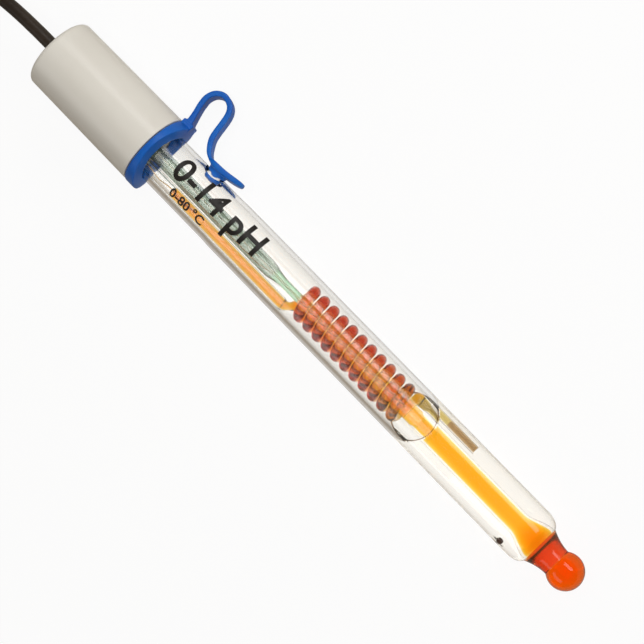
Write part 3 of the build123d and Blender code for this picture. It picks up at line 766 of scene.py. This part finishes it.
def touchesSolution(face):
    # under the surface, and not on the outside of the body or of its shoulder
    middle = face.calc_center_median()
    radius = middle.yz.length
    outside = glass["radius"] - glass["wetSkin"]
    if middle.x > neckStart - glass["wetStop"] or radius > outside or not isWet(middle):
        return False
    shoulderFrom = glass["bodyLength"] - glass["shoulderLead"]
    onShoulder = middle.x > shoulderFrom and radius > glass["sealRadius"] + glass["sealRim"]
    return not (onShoulder and face.normal.dot(Vector((0, *middle.yz))) > 0)


def makeGlassBody(size):
    outer, bore = outerLine(size), boreLine(size)
    shape, faces = turned([*outer, *bore, *stemLine(size), *innerWallLine(size)], size["segments"])
    outerRows = len(outer) - 1
    boreRows = outerRows + len(bore)
    raiseBead(shape, bead)
    for row, face in faces:
        along = face.calc_center_median().x
        finish = "air"
        if row < outerRows and along > neckStart:
            finish = "neck" if along < neckEnd else "bulb"
        elif outerRows <= row < boreRows:
            finish = "neckBore" if neckStart - 0.3 < along < neckEnd else "stemBore"
        face.material_index = glassIndex[finish]
    inner = [face for row, face in faces if row >= boreRows]
    edges = {edge for face in inner for edge in face.edges}
    corners = {corner for face in inner for corner in face.verts}
    cutAtSurface(shape, [*corners, *edges, *inner])
    for face in shape.faces:
        if face.material_index == glassIndex["air"] and touchesSolution(face):
            face.material_index = glassIndex["wet"]
    return finishPiece(
        "glass_body", shape, glassFinishes.values(),
        stands=["outer_tube", "inner_stem", "ph_bulb"], sharp=size["sharp"])


glassPiece = makeGlassBody(glass)


def cutFillHole(piece, size):
    # the fill hole is cut square through the wall, under the stopper
    reach, radius = 2.0, size["holeRadius"]
    cutter, _ = turned([(-reach, 0.0), (-reach, radius), (reach, radius), (reach, 0.0)], 48)
    mesh = meshFrom("fillHoleCutter", cutter)
    upright = Matrix.Rotation(math.radians(90), 4, "Z")
    mesh.transform(place @ Matrix.Translation((size["holeAt"], size["topRadius"], 0)) @ upright)
    tool = putInScene("fillHoleCutter", mesh)
    modifier = piece.modifiers.new("fillHole", "BOOLEAN")
    modifier.object = tool
    modifier.operation = "DIFFERENCE"
    modifier.solver = "EXACT"
    cut = plainMesh(piece)
    piece.modifiers.clear()
    uncut = piece.data
    piece.data = cut
    bpy.data.meshes.remove(uncut)
    removeThing(tool)
    cut.name = piece.name
    smoothButSharp(cut, size["sharp"])


cutFillHole(glassPiece, glass)
print("glass body blown:", len(glassPiece.data.polygons), "faces")

# Solutions: orange in the thin stem, redder in the thick bulb, and deepest by the seal
stemDye = glassMaterial("dyedStemSolution", 1.0, volume=((0.990, 0.80, 0.0), 1500.0))
bulbDye = glassMaterial("dyedBulbSolution", 1.0, volume=((0.9905, 0.81, 0.0), 1900.0))
sealDye = glassMaterial("dyedSolutionAtSeal", 1.0, volume=((0.96, 0.5, 0.0), 900.0))
clearSide = glassMaterial("clearSolutionSide", 1.0)
# the clear surface darkens with painted shade where it is seen edge on, and its brim by the wall is a ring of
# painted shade, dark brown
clearTop = glassMaterial("clearSolutionSurface", 1.34, edge="#4A2E14", edgeShadePower=3.0)
brimShade = glassMaterial("clearSolutionBrimShade", 1.34, edge="#3A2210", face="#5A3A1C", edgeShadePower=2.0)
# the bulb's redder dye reaches into the neck as a dome: along from the seal, out from the axis
dyeDome = {"line": [(1.0, 0.0), (1.12, 1.0), (1.55, 1.8), (2.4, 2.3), (3.5, 2.6)], "end": 4.6, "inset": 0.12}


def makeInnerSolution(size):
    gap = solution["gap"]
    bore, neckBore = size["stemBore"] - gap, size["sealRadius"] - size["neckWall"] - gap
    ballRadius = size["bulbRadius"] - size["bulbWall"]
    edge = math.sqrt(ballRadius**2 - (bulbCentre - neckEnd) ** 2) - gap
    rounded = size["boreRound"] - gap
    flare = flareLine(bore, neckBore, neckStart)
    sealAt, sealBore = flare[-2]  # the dye turns dark here, a little before the seal
    shape, _ = turned([
        (size["boreTop"] + gap, 0.0),
        *arc(size["boreTop"] + size["boreRound"], bore - rounded, rounded, 180, 90, 6),
        (80.0, bore), *flare[:-1], (sealAt, 0.0)])
    stemFaces = len(shape.faces)
    domeLine = [*dyeDome["line"], (dyeDome["end"], edge - dyeDome["inset"])]
    dome = smoothLine([(neckStart + along, out) for along, out in domeLine], 5)
    turned([*dome, *ballLine(ballRadius - gap, edge, 26)], shape=shape)
    bulbFaces = len(shape.faces)
    under = [(along - gap, out + gap * 0.5 if out else 0.0) for along, out in reversed(dome)]
    turned([
        (sealAt + gap, 0.0), (sealAt + gap, sealBore), (neckStart, neckBore), (neckEnd - 0.1, edge), *under],
        shape=shape)
    for index, face in enumerate(shape.faces):
        face.material_index = 0 if index < stemFaces else 1 if index < bulbFaces else 2
    finishPiece(
        "inner_dye", shape, [stemDye, bulbDye, sealDye], stands=["inner_solution"],
        sharp=60)


def surfaceRise(radius):
    # the liquid creeps up the wall and the stem
    size, reach = solution, solution["meniscusReach"]
    fromWall, fromStem = glass["radius"] - glass["wall"] - radius, radius - glass["stemRadius"]
    return size["meniscus"] * (math.exp(-fromWall / reach) + size["stemShare"] * math.exp(-fromStem / reach))


def fillOutline(angle):
    gap, steps = solution["gap"], solution["surfaceSteps"]
    wall, stem, seal = glass["radius"] - glass["wall"] - gap, glass["stemRadius"] + gap, glass["sealRadius"]
    surface = []
    for step in range(steps + 1):
        radius = between(stem, wall, ease(step / steps))
        surface.append((solution["level"] + radius * math.sin(angle) * slope - surfaceRise(radius), radius))
    tip = wedgeTip - gap
    shoulderFrom = glass["bodyLength"] - glass["innerLag"] - gap
    side = [(90.0, wall), *shoulderLine(shoulderFrom, tip, wall, seal - gap)]
    back = flareLine(stem, seal + gap, tip)[::-1][1:]
    return surface + side + back


def makeFillSolution(size):
    shape, faces = turned(fillOutline, 160)
    shadedBrimFrom = glass["radius"] - glass["wall"] - size["shadedBrimWidth"]
    for row, face in faces:
        if row < size["surfaceSteps"]:
            # the brim by the wall takes the painted shade
            face.material_index = 2 if face.calc_center_median().yz.length > shadedBrimFrom else 1
    finishPiece(
        "clear_fill", shape, [clearSide, clearTop, brimShade],
        stands=["fill_solution"], sharp=60)


makeInnerSolution(glass)
makeFillSolution(solution)
print("solutions poured")

# Reference cell: one glass tube swept along its whole path, with the dyed thread inside it
cell = {
    "feedOffset": 3.35, "feedRadius": 1.4, "feedBore": 0.85, "feedLevel": 9.5,
    "feedStops": [-20.0, -9.0, 0.0, 9.5, 20.0, 30.0, 36.0, 38.0, 40.0, 41.2, 42.1],
    "linkFrom": 42.6, "linkSteps": 14, "linkLeaves": 2.6, "linkArrives": 3.4, "linkTurnSteps": 5,
    "waist": 0.32, "waistAt": 0.45, "waistWidth": 0.28,
    "coilStart": 44.4, "coilPitch": 2.8, "coilTurns": 11.5, "stepsPerTurn": 28, "tubing": 1.24,
    "bore": 1.06, "lastRadius": 3.2, "taper": 0.28, "lean": 0.4,
    "outletBend": 4.6, "outletSteps": 14, "outletRise": 0.35, "outletRadius": 0.82, "outletBore": 0.62,
    "outletEnd": 92.4, "endInset": 0.15, "threadGap": 0.015,
}
# marks along the path, with 0 to 1 for the share of the coil and up to 1.5 for the bend after it
feedMark, linkMark, outletMark = -1.0, -0.5, 2.0
# the thread's stretches: from mark to mark, with the millimetres of dye looked through and their colour
threadColours = {
    "dyedFeedThread": (-1.2, -0.2, 1.7, "#F59C1E"),
    "dyedCoilTopThread": (-0.2, 0.2, 2.1, "#E99828"),
    "dyedCoilUpperThread": (0.2, 0.4, 2.1, "#E99A26"),
    "dyedCoilMiddleThread": (0.4, 0.6, 2.1, "#EA9E24"),
    "dyedCoilLowerThread": (0.6, 0.7, 2.1, "#EBA628"),
    "dyedCoilLastThread": (0.7, 0.85, 2.1, "#EBB034"),
    "dyedCoilEndThread": (0.85, 1.05, 2.1, "#E6B944"),
    "dyedBendThread": (1.05, 1.6, 2.1, "#B8963C"),
    "dyedOutletThread": (1.6, 3.0, 1.0, "#B5966C"),
}
# The coil's glass keeps the painted shade at its edges pale, because they are seen through each other many times
# over
coilGlass = glassMaterial("coilGlass", 1.47, edge="#EFEBE4")
wetCoilGlass = glassMaterial("coilGlassAgainstSolution", 1.097, edge="#EFEBE4")
dyedCoilGlass = glassMaterial("coilGlassAgainstDye", 1.10, edge="#FFF2E6")


def makeSweptTubing():
    # Geometry Nodes: a round tube along a path, as wide at each point as the path says
    tree, start = newTree("sweptTubing", {
        "Sides": ("NodeSocketInt", 24), "Inside out": ("NodeSocketBool", False),
        "Material": ("NodeSocketMaterial", None)})
    ring = addNode(tree, "GeometryNodeCurvePrimitiveCircle", {
        "Resolution": start.outputs["Sides"], "Radius": 1.0})
    width = addNode(tree, "GeometryNodeInputRadius")
    tube = addNode(tree, "GeometryNodeCurveToMesh", {
        "Curve": start.outputs["Geometry"], "Profile Curve": ring.outputs["Curve"],
        "Scale": width.outputs["Radius"], "Fill Caps": True})
    flipped = addNode(tree, "GeometryNodeFlipFaces", {
        "Mesh": tube.outputs["Mesh"], "Selection": start.outputs["Inside out"]})
    return endTree(tree, start, flipped.outputs["Mesh"])


sweptTubing = makeSweptTubing()


def sweep(path, material, sides=24, insideOut=False):
    # path: (along, side, up, radius) in millimetres
    curve = bpy.data.curves.new("sweepPath", "CURVE")
    curve.dimensions = "3D"
    line = curve.splines.new("POLY")
    line.points.add(len(path) - 1)
    for point, (along, side, up, radius) in zip(line.points, path):
        point.co = (along, side, up, 1.0)
        point.radius = radius
    values = {"Sides": sides, "Inside out": insideOut, "Material": material}
    return runTree(sweptTubing, putInScene("sweepPath", curve), values)


def helixPoint(size, turn):
    share = turn / size["coilTurns"]
    radius = size["lastRadius"] - size["taper"] * (1 - share)
    angle = math.pi + 2 * math.pi * turn
    return (
        size["coilStart"] + size["coilPitch"] * turn,
        size["lean"] * (1 - share) + radius * math.cos(angle),
        radius * math.sin(angle))


# Stations are (along, side, up, glass radius, bore radius, mark)
def feedStations(size):
    side, radius, bore = -size["feedOffset"], size["feedRadius"], size["feedBore"]
    return [(along, side, 0.0, radius, bore, feedMark) for along in size["feedStops"]]


def linkStations(size):
    # the feed swings over into the first turn, a little narrower half way
    turn, steps = size["linkTurnSteps"] / size["stepsPerTurn"], size["linkSteps"]
    start = Vector((size["linkFrom"], -size["feedOffset"], 0.0))
    end = Vector(helixPoint(size, turn))
    leave = Vector((size["linkLeaves"], 0.0, 0.0))
    arrive = (Vector(helixPoint(size, turn + 0.01)) - end).normalized() * size["linkArrives"]
    stations = []
    for step in range(steps + 1):
        t = step / steps
        point = start * (1 - ease(t)) + end * ease(t) + leave * t * (1 - t) ** 2 - arrive * t * t * (1 - t)
        waist = 1 - size["waist"] * math.exp(-((t - size["waistAt"]) / size["waistWidth"]) ** 2)
        radius = between(size["feedRadius"], size["tubing"], ease(t))
        bore = between(size["feedBore"], size["bore"], ease(t))
        stations.append((*point, radius * waist, bore * waist, linkMark))
    return stations


def coilStations(size):
    perTurn, turns = size["stepsPerTurn"], size["coilTurns"]
    stations = []
    for step in range(size["linkTurnSteps"] + 1, round(turns * perTurn) + 1):
        turn = step / perTurn
        stations.append((*helixPoint(size, turn), size["tubing"], size["bore"], turn / turns))
    return stations


def outletStations(size):
    along, side, _ = helixPoint(size, size["coilTurns"])
    steps = size["outletSteps"]
    stations = []
    for step in range(1, steps + 1):
        t = step / steps
        radius = between(size["tubing"], size["outletRadius"], ease(t))
        bore = between(size["bore"], size["outletBore"], ease(t))
        rise = size["outletRise"] * math.sin(math.pi * t)
        stations.append((along + size["outletBend"] * t, side, rise, radius, bore, 1.0 + 0.5 * t))
    straightFrom = along + size["outletBend"]
    for share in (0.3, 0.6, 0.9, 1.0):
        point = (between(straightFrom, size["outletEnd"], share), side, 0.0)
        stations.append((*point, size["outletRadius"], size["outletBore"], outletMark))
    return stations


def soakFor(hexColour, thicknessMm):
    # absorption that gives this colour through this much liquid
    values = [max(0.004, value) for value in linear(hexColour)[:3]]
    needs = [-math.log(value) / thicknessMm * 1000 for value in values]
    density = max(needs) * 1.02
    return tuple(1 - need / density for need in needs), density


def joinMeshes(parts):
    # several finished meshes as one, each with its own material slot
    shape = bmesh.new()
    materials = []
    for mesh, material in parts:
        before = len(shape.faces)
        shape.from_mesh(mesh)
        shape.faces.ensure_lookup_table()
        if material not in materials:
            materials.append(material)
        for face in shape.faces[before:]:
            face.material_index = materials.index(material)
        bpy.data.meshes.remove(mesh)
    return shape, materials


def makeCellGlass(size, stations):
    outside = [(*point, radius) for *point, radius, _, _ in stations]
    inside = [(*point, bore) for *point, _, bore, _ in stations]
    inside[-1] = (inside[-1][0] - size["endInset"], *inside[-1][1:])
    empty = [spot for spot in inside if spot[0] <= size["feedLevel"]]
    full = inside[len(empty) - 1:]
    shape, materials = joinMeshes([
        (sweep(outside, coilGlass, 28), coilGlass), (sweep(empty, coilGlass, 20, True), coilGlass),
        (sweep(full, dyedCoilGlass, 20, True), dyedCoilGlass)])
    materials.append(wetCoilGlass)
    cutAtSurface(shape, [*shape.verts, *shape.edges, *shape.faces])
    for face in shape.faces:
        if face.material_index == 0 and isWet(face.calc_center_median()):
            face.material_index = materials.index(wetCoilGlass)
    finishPiece("reference_coil", shape, materials, stands=["reference_cell"], sharp=60)


def makeThread(size, stations):
    filled = [spot for spot in stations if spot[5] >= 0 or spot[0] >= size["feedLevel"]]
    parts = []
    for name, (start, end, thickness, colour) in threadColours.items():
        picked = [spot for spot in filled if start <= spot[5] <= end]
        after = filled.index(picked[-1]) + 1
        picked += filled[after:after + 1]
        line = [(*point, bore - size["threadGap"]) for *point, _, bore, _ in picked]
        if after == len(filled):
            line[-1] = (line[-1][0] - size["endInset"] - size["threadGap"], *line[-1][1:])
        material = glassMaterial(name, 1.0, volume=soakFor(colour, thickness))
        parts.append((sweep(line, material, 20), material))
    shape, materials = joinMeshes(parts)
    finishPiece(
        "reference_thread", shape, materials, stands=["reference_solution"],
        sharp=70)


cellPath = feedStations(cell) + linkStations(cell) + coilStations(cell) + outletStations(cell)
makeCellGlass(cell, cellPath)
makeThread(cell, cellPath)
print("reference cell and its thread swept")

# Lead tube: drawn lead glass, grey-green and a little milky, with fine draw lines along it and painted shade at
# its edges
lead = {
    "top": -18.0, "wideRadius": 1.8, "wideBore": 1.15, "wideEnd": 34.6,
    "taperLine": [(1.6, 0.93), (3.4, 0.7)],  # past the wide end, and the share of its radius there
    "narrowAt": 39.7, "narrowRadius": 1.0, "narrowBore": 0.26, "end": 69.8,
    "boreClosesFrom": 33.1, "boreClosesAt": 36.8, "boreShrinks": 0.9, "milkyTo": 37.0, "paleFrom": 44.6,
    "drawLines": (60, 1400, 1400),  # patches in a metre: long and narrow, as glass is drawn
}


def drawnGlass(name, light, middle, dark, see, roughness):
    material, tree = emptyMaterial(name)
    where = addNode(tree, "ShaderNodeTexCoord").outputs["Object"]
    level = addNode(tree, "ShaderNodeMapping", {
        "Vector": where, "Rotation": tuple(place.to_3x3().inverted().to_euler()),
        "Scale": lead["drawLines"]})
    lines = addNode(tree, "ShaderNodeTexNoise", {
        "Vector": level.outputs["Vector"], "Scale": 1.0, "Detail": 3.0})
    # painted shade: the tone darkens where the wall is seen edge on
    facing = addNode(tree, "ShaderNodeLayerWeight", {"Blend": 0.35}).outputs["Facing"]
    linesLessEdgeShade = addNode(tree, "ShaderNodeMath", {0: lines.outputs["Fac"], 1: facing}, operation="SUBTRACT")
    lifted = addNode(tree, "ShaderNodeMath", {0: linesLessEdgeShade.outputs["Value"], 1: 0.35}, operation="ADD")
    tint = addNode(tree, "ShaderNodeValToRGB", {"Fac": lifted.outputs["Value"]})
    shader = addNode(tree, "ShaderNodeBsdfPrincipled", {
        "Base Color": setStops(tint, [(0.1, dark), (0.5, middle), (0.85, light)]),
        "Roughness": roughness,
        "IOR": 1.5,
        "Transmission Weight": see,
        "Coat Weight": 0.4,
        "Coat Roughness": 0.05})
    addNode(tree, "ShaderNodeOutputMaterial", {"Surface": shader.outputs["BSDF"]})
    return material


def makeLeadTube(size):
    wide, narrow, wideEnd = size["wideRadius"], size["narrowRadius"], size["wideEnd"]
    wideBore, narrowBore = size["wideBore"], size["narrowBore"]
    taper = [(wideEnd + along, wide * share) for along, share in size["taperLine"]]
    ends = [(size["narrowAt"] + past, narrow) for past in (0.0, 1.2)]
    drawn = smoothLine([(wideEnd, wide), *taper, *ends], 6)
    outline = [
        (size["top"], wideBore), (size["top"], wide), (20.0, wide), *drawn,
        *((along, narrow) for along in (size["paleFrom"], 60.0, size["end"])),
        *((along, narrowBore) for along in (size["end"], 60.0, size["paleFrom"], size["boreClosesAt"])),
        (size["boreClosesFrom"], wideBore * size["boreShrinks"]), (20.0, wideBore)]
    shape, _ = turned(outline, 64)
    finishes = [
        drawnGlass("milkyLeadGlass", "#CBD8CF", "#93A89A", "#3E5247", 0.88, 0.05),
        drawnGlass("greenLeadGlass", "#C9EBD2", "#9CCBAC", "#4A785E", 0.96, 0.03),
        drawnGlass("paleLeadGlass", "#FFFFFF", "#F6F4E6", "#C8BC96", 1.0, 0.0)]
    for face in shape.faces:
        along = face.calc_center_median().x
        face.material_index = 0 if along < size["milkyTo"] else 1 if along < size["paleFrom"] else 2
    finishPiece("lead_glass", shape, finishes, stands=["lead_tube"], sharp=50)


makeLeadTube(lead)

# Wires: drawn, gold coloured, a little wavy where they hang free
wires = {
    "from": -17.0, "referenceLength": 33.0, "referenceSteps": 59, "referenceRadius": 0.15,
    "wave": (0.22, 0.2), "waveQuick": (0.9, 0.7), "leadLength": 93.0, "leadSteps": 40, "leadRadius": 0.14,
}


def makeWires(size):
    gold = grainMaterial("drawnGoldWire", "#C9A25A", "#9C7434", 0.3, 0.1, 0.001, metallic=1.0)
    wavy, straight = [], []
    steps = size["referenceSteps"]
    for step in range(steps + 1):
        along = size["from"] + size["referenceLength"] * step / steps
        side = size["wave"][0] * math.sin(along * size["waveQuick"][0]) - cell["feedOffset"]
        up = size["wave"][1] * math.cos(along * size["waveQuick"][1])
        wavy.append((along, side, up, size["referenceRadius"]))
    steps = size["leadSteps"]
    for step in range(steps + 1):
        along = size["from"] + size["leadLength"] * step / steps
        straight.append((along, 0.0, 0.0, size["leadRadius"]))
    finishPiece("reference_lead", sweep(wavy, gold, 10), [gold], stands=["reference_wire"])
    finishPiece("signal_lead", sweep(straight, gold, 10), [gold], stands=["lead_wire"])


makeWires(wires)


def makeJunction(size):
    # matt, dark and a little rough, as ground porous ceramic is
    radius, outer, edge = size["radius"], size["outer"], size["edge"]
    shape, _ = turned([
        (size["inner"], 0.0), (size["inner"], radius), (outer - edge, radius), (outer, radius - edge),
        (outer, 0.0)], 32)
    turn = Matrix.Translation((size["along"], 0, 0)) @ Matrix.Rotation(math.radians(size["turn"]), 4, "X")
    upright = turn @ Matrix.Rotation(math.radians(90), 4, "Z")
    ceramic = grainMaterial("groundPorousCeramic", "#4A3428", "#2A1A12", 0.8, 0.12, 0.02)
    finishPiece(
        "porous_plug", shape, [ceramic], stands=["junction_plug"],
        moved=place @ upright)


makeJunction(junction)
print("lead tube, wires and junction made")

# Cover: one soft blue moulding, from the band by way of the looped strap to the flap and its stopper
cover = {
    "bandInner": 5.95, "bandOuter": 8.62, "bandFrom": 0.2, "bandTo": 3.0, "saddle": 25.0, "edge": 0.28,
    "lug": {"along": 1.65, "out": 8.45, "length": 2.7, "height": 1.8, "width": 4.8, "round": 0.35},
    # along, out from the axis, width, thickness
    "strapLine": [
        (1.6, 8.2, 4.6, 2.0), (1.5, 9.6, 4.2, 1.5), (1.0, 11.6, 4.0, 1.25), (0.45, 13.7, 4.0, 1.25),
        (0.3, 15.7, 4.0, 1.25), (1.05, 17.45, 4.0, 1.25), (2.7, 18.4, 4.0, 1.25), (4.5, 18.05, 4.0, 1.25),
        (5.6, 17.2, 4.0, 1.25), (6.25, 15.9, 4.0, 1.25), (6.65, 14.0, 4.0, 1.25), (6.95, 12.1, 4.0, 1.25),
        (7.35, 10.4, 4.0, 1.25), (8.15, 9.0, 4.0, 1.2), (9.15, 7.8, 4.0, 1.0), (10.3, 7.1, 4.2, 0.75),
        (11.2, 6.98, 5.6, 1.05), (12.4, 6.92, 6.4, 1.27), (13.9, 6.98, 6.4, 1.27), (15.6, 7.15, 6.4, 1.25),
        (17.2, 7.45, 5.8, 1.2), (18.4, 7.72, 4.2, 1.1), (19.0, 7.86, 2.6, 0.95), (19.3, 7.92, 1.0, 0.7),
    ],
    "plugAt": 13.2, "plugFrom": 3.75, "plugTo": 6.6, "plugTip": 1.75, "plugRoot": 2.4, "plugChamfer": 0.3,
    "voxel": 0.16, "smoothing": 3,
}


def roundedSection(width, thickness, corner=0.3, steps=4):
    corner = min(corner, thickness * 0.45, width * 0.45)
    points = []
    for cornerIndex, (sideSign, thickSign) in enumerate(((1, 1), (-1, 1), (-1, -1), (1, -1))):
        for step in range(steps + 1):
            angle = math.pi / 2 * (cornerIndex + step / steps)
            points.append((
                sideSign * (width / 2 - corner) + corner * math.cos(angle),
                thickSign * (thickness / 2 - corner) + corner * math.sin(angle)))
    return points


def strapSections(size):
    line = smoothLine(size["strapLine"], 6)
    sections = []
    for index, (along, out, width, thickness) in enumerate(line):
        before, after = line[max(0, index - 1)], line[min(len(line) - 1, index + 1)]
        run = Vector((after[0] - before[0], after[1] - before[1], 0)).normalized()
        normal = Vector((-run.y, run.x, 0))
        middle = Vector((along, out, 0))
        sections.append([
            middle + Vector((0, 0, 1)) * across + normal * thick
            for across, thick in roundedSection(width, thickness)])
    return sections


def bandOutline(size):
    # round at the back, and hollowed in a saddle curve at the front
    inner, outer, edge, low = size["bandInner"], size["bandOuter"], size["edge"], size["bandFrom"]
    back = arc(low + edge, inner + edge, edge, 270, 180, 3) + arc(low + edge, outer - edge, edge, 180, 90, 4)
    steps = 6

    def outline(angle):
        front = []
        for step in range(steps + 1):
            radius = outer - (outer - inner) * step / steps
            away = radius * math.sin(angle)
            drop = size["saddle"] - math.sqrt(size["saddle"] ** 2 - away**2)
            front.append((size["bandTo"] - drop, radius))
        return back + front
    return outline


def lugSections(size):
    section = roundedSection(size["width"], size["height"], size["round"])
    ends = [size["along"] + side * size["length"] / 2 for side in (-1, 1)]
    return [[(end, size["out"] + y, z) for z, y in section] for end in ends]


def stopperMesh(size):
    tip, root, chamfer = size["plugTip"], size["plugRoot"], size["plugChamfer"]
    plug, _ = turned([
        (size["plugFrom"], 0.0), (size["plugFrom"], tip - chamfer), (size["plugFrom"] + chamfer, tip),
        (size["plugTo"], root), (size["plugTo"], 0.0)], 64)
    plug.transform(Matrix.Translation((size["plugAt"], 0, 0)) @ Matrix.Rotation(math.radians(90), 4, "Z"))
    return meshFrom("stopper", plug)


def makeCover(size):
    shape, _ = turned(bandOutline(size), 160)
    addSweptSection(strapSections(size), shape)
    addSweptSection(lugSections(size["lug"]), shape)
    stopper = stopperMesh(size)
    shape.from_mesh(stopper)
    bpy.data.meshes.remove(stopper)
    thing = putInScene("coverMoulding", meshFrom("coverMoulding", shape))
    fuse = thing.modifiers.new("fuse", "REMESH")
    fuse.mode = "VOXEL"
    fuse.voxel_size = size["voxel"]
    fuse.use_smooth_shade = True
    soften = thing.modifiers.new("soften", "SMOOTH")
    soften.factor = 0.5
    soften.iterations = size["smoothing"]
    piece = finishPiece(
        "cover_moulding", turnedIntoMesh(thing), [blueElastomer()], body=None,
        sharp=180)
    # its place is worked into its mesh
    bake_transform(piece)
    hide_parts("cover_band", "cover_stopper")
    return piece


def blueElastomer():
    # injection moulded elastomer: deep even blue, satin, paler where light gets into its thin edges
    material, tree = emptyMaterial("mouldedBlueElastomer")
    where = addNode(tree, "ShaderNodeTexCoord").outputs["Object"]
    clouds = addNode(tree, "ShaderNodeTexNoise", {"Vector": where, "Scale": 140.0, "Detail": 3.0})
    grain = addNode(tree, "ShaderNodeTexNoise", {"Vector": where, "Scale": 4500.0, "Detail": 2.0})
    tones = addNode(tree, "ShaderNodeValToRGB", {"Fac": clouds.outputs["Fac"]})
    bump = addNode(tree, "ShaderNodeBump", {
        "Height": grain.outputs["Fac"], "Distance": 0.000004, "Strength": 1.0})
    shader = addNode(tree, "ShaderNodeBsdfPrincipled", {
        "Base Color": setStops(tones, [(0.3, "#0B5CBA"), (0.7, "#1A6DC9")]),
        "Roughness": 0.42,
        "Subsurface Weight": 0.12,
        "Subsurface Radius": (0.3, 0.5, 1.0),
        "Subsurface Scale": 0.0006,
        "Specular IOR Level": 0.4,
        "Normal": bump.outputs["Normal"]})
    addNode(tree, "ShaderNodeOutputMaterial", {"Surface": shader.outputs["BSDF"]})
    return material


coverPiece = makeCover(cover)
print("cover moulded:", len(coverPiece.data.polygons), "faces")

# Print: a generic measuring range in black ceramic ink on the glass, dull beside its shine
ink = {
    "rows": [
        {"words": "0-14 pH", "height": 5.5, "along": 7.4, "side": -0.9},
        {"words": "0-80 °C", "height": 2.2, "along": 10.0, "side": -4.7},
    ],
    "sizePerHeight": 1.38,  # the font's capitals are 0.72 of its size
    "bold": 0.03, "lift": 0.012, "thickness": 0.02, "strip": 0.35,
}


def flatText(row, size):
    # flat letters, cut in narrow strips so that they can bend round the glass
    curve = bpy.data.curves.new("printText", "FONT")
    curve.body = row["words"]
    curve.size = row["height"] * size["sizePerHeight"]
    curve.offset = size["bold"] * row["height"]
    mesh = turnedIntoMesh(putInScene("printText", curve))
    shape = bmesh.new()
    shape.from_mesh(mesh)
    bpy.data.meshes.remove(mesh)
    bmesh.ops.remove_doubles(shape, verts=shape.verts, dist=1e-5)
    cut = -row["height"]
    while cut < row["height"] * 1.5:
        geometry = [*shape.verts, *shape.edges, *shape.faces]
        bmesh.ops.bisect_plane(shape, geom=geometry, dist=1e-5, plane_co=(0, cut, 0), plane_no=(0, 1, 0))
        cut += size["strip"]
    return shape


def bendOntoGlass(shape, row, size):
    for vertex in shape.verts:
        along = row["along"] + vertex.co.x
        widened = max(0.0, min(1.0, (along - glass["widensAt"]) / glass["widensOver"]))
        radius = size["lift"] + between(glass["topRadius"], glass["radius"], widened)
        angle = math.pi / 2 - (row["side"] + vertex.co.y) / radius
        vertex.co = (along, radius * math.cos(angle), radius * math.sin(angle))
    bmesh.ops.recalc_face_normals(shape, faces=shape.faces)
    for face in shape.faces:
        if face.normal.dot(Vector((0, *face.calc_center_median().yz))) < 0:
            face.normal_flip()
    bmesh.ops.solidify(shape, geom=list(shape.faces), thickness=-size["thickness"])


def makePrint(size):
    whole = bmesh.new()
    for row in size["rows"]:
        shape = flatText(row, size)
        bendOntoGlass(shape, row, size)
        mesh = meshFrom("printRow", shape)
        whole.from_mesh(mesh)
        bpy.data.meshes.remove(mesh)
    blackInk = grainMaterial("firedBlackInk", "#241F1B", "#171310", 0.45, 0.1, 0.002)
    finishPiece("range_print", whole, [blackInk], sharp=30)


makePrint(ink)
print("print laid on")

# Finishes of the pieces that stay as they are: nodes, light and dark tone, roughness, grain and depth in
# millimetres, metallic
plated = ["crimp_ferrule", "connector_body", "coupling_collar"]
keptFinishes = {
    "castSealingResin": (["cap_potting"], "#D8D3C6", "#C9C3B4", 0.6, 0.6, 0.01, 0.0),  # dull, stone-like
    "jacketAndCores": (["cable_end"], "#3A2F25", "#2A221B", 0.45, 0.25, 0.006, 0.0),  # satin, as the cable
    "shrunkSleeve": (["signal_splice", "reference_splice"], "#E6E3DA", "#D8D4C8", 0.5, 0.3, 0.01, 0.0),
    "wovenNylonTie": (["coil_tie"], "#2B2B2A", "#1D1D1C", 0.7, 0.35, 0.05, 0.0),  # matt, coarse
    "nickelPlatedBrass": (plated, "#C9C6BE", "#B7B3A9", 0.28, 0.15, 0.002, 1.0),  # soft warm shine
    "turnedPtfe": (["connector_insulator"], "#F1F0EB", "#E6E4DC", 0.45, 0.3, 0.004, 0.0),  # waxy white
    "goldPlatedContact": (["centre_contact"], "#E3B65C", "#C9963C", 0.25, 0.1, 0.001, 1.0),
    "siliconeGasket": (["connector_gasket"], "#3A3A3A", "#2C2C2C", 0.65, 0.2, 0.006, 0.0),  # matt, grey
    "mouldedSoftBoot": (["connector_boot"], "#262524", "#1A1918", 0.55, 0.3, 0.01, 0.0),  # matt, black
}


def finishKeptNodes(finishes):
    for name, (nodes, light, dark, roughness, grainMm, depthMm, metallic) in finishes.items():
        material = grainMaterial(name, light, dark, roughness, grainMm, depthMm, metallic=metallic)
        for node in nodes:
            mesh = frame["nodes"][node].data
            mesh.materials.clear()
            mesh.materials.append(material)


finishKeptNodes(keptFinishes)

print("all pieces made")
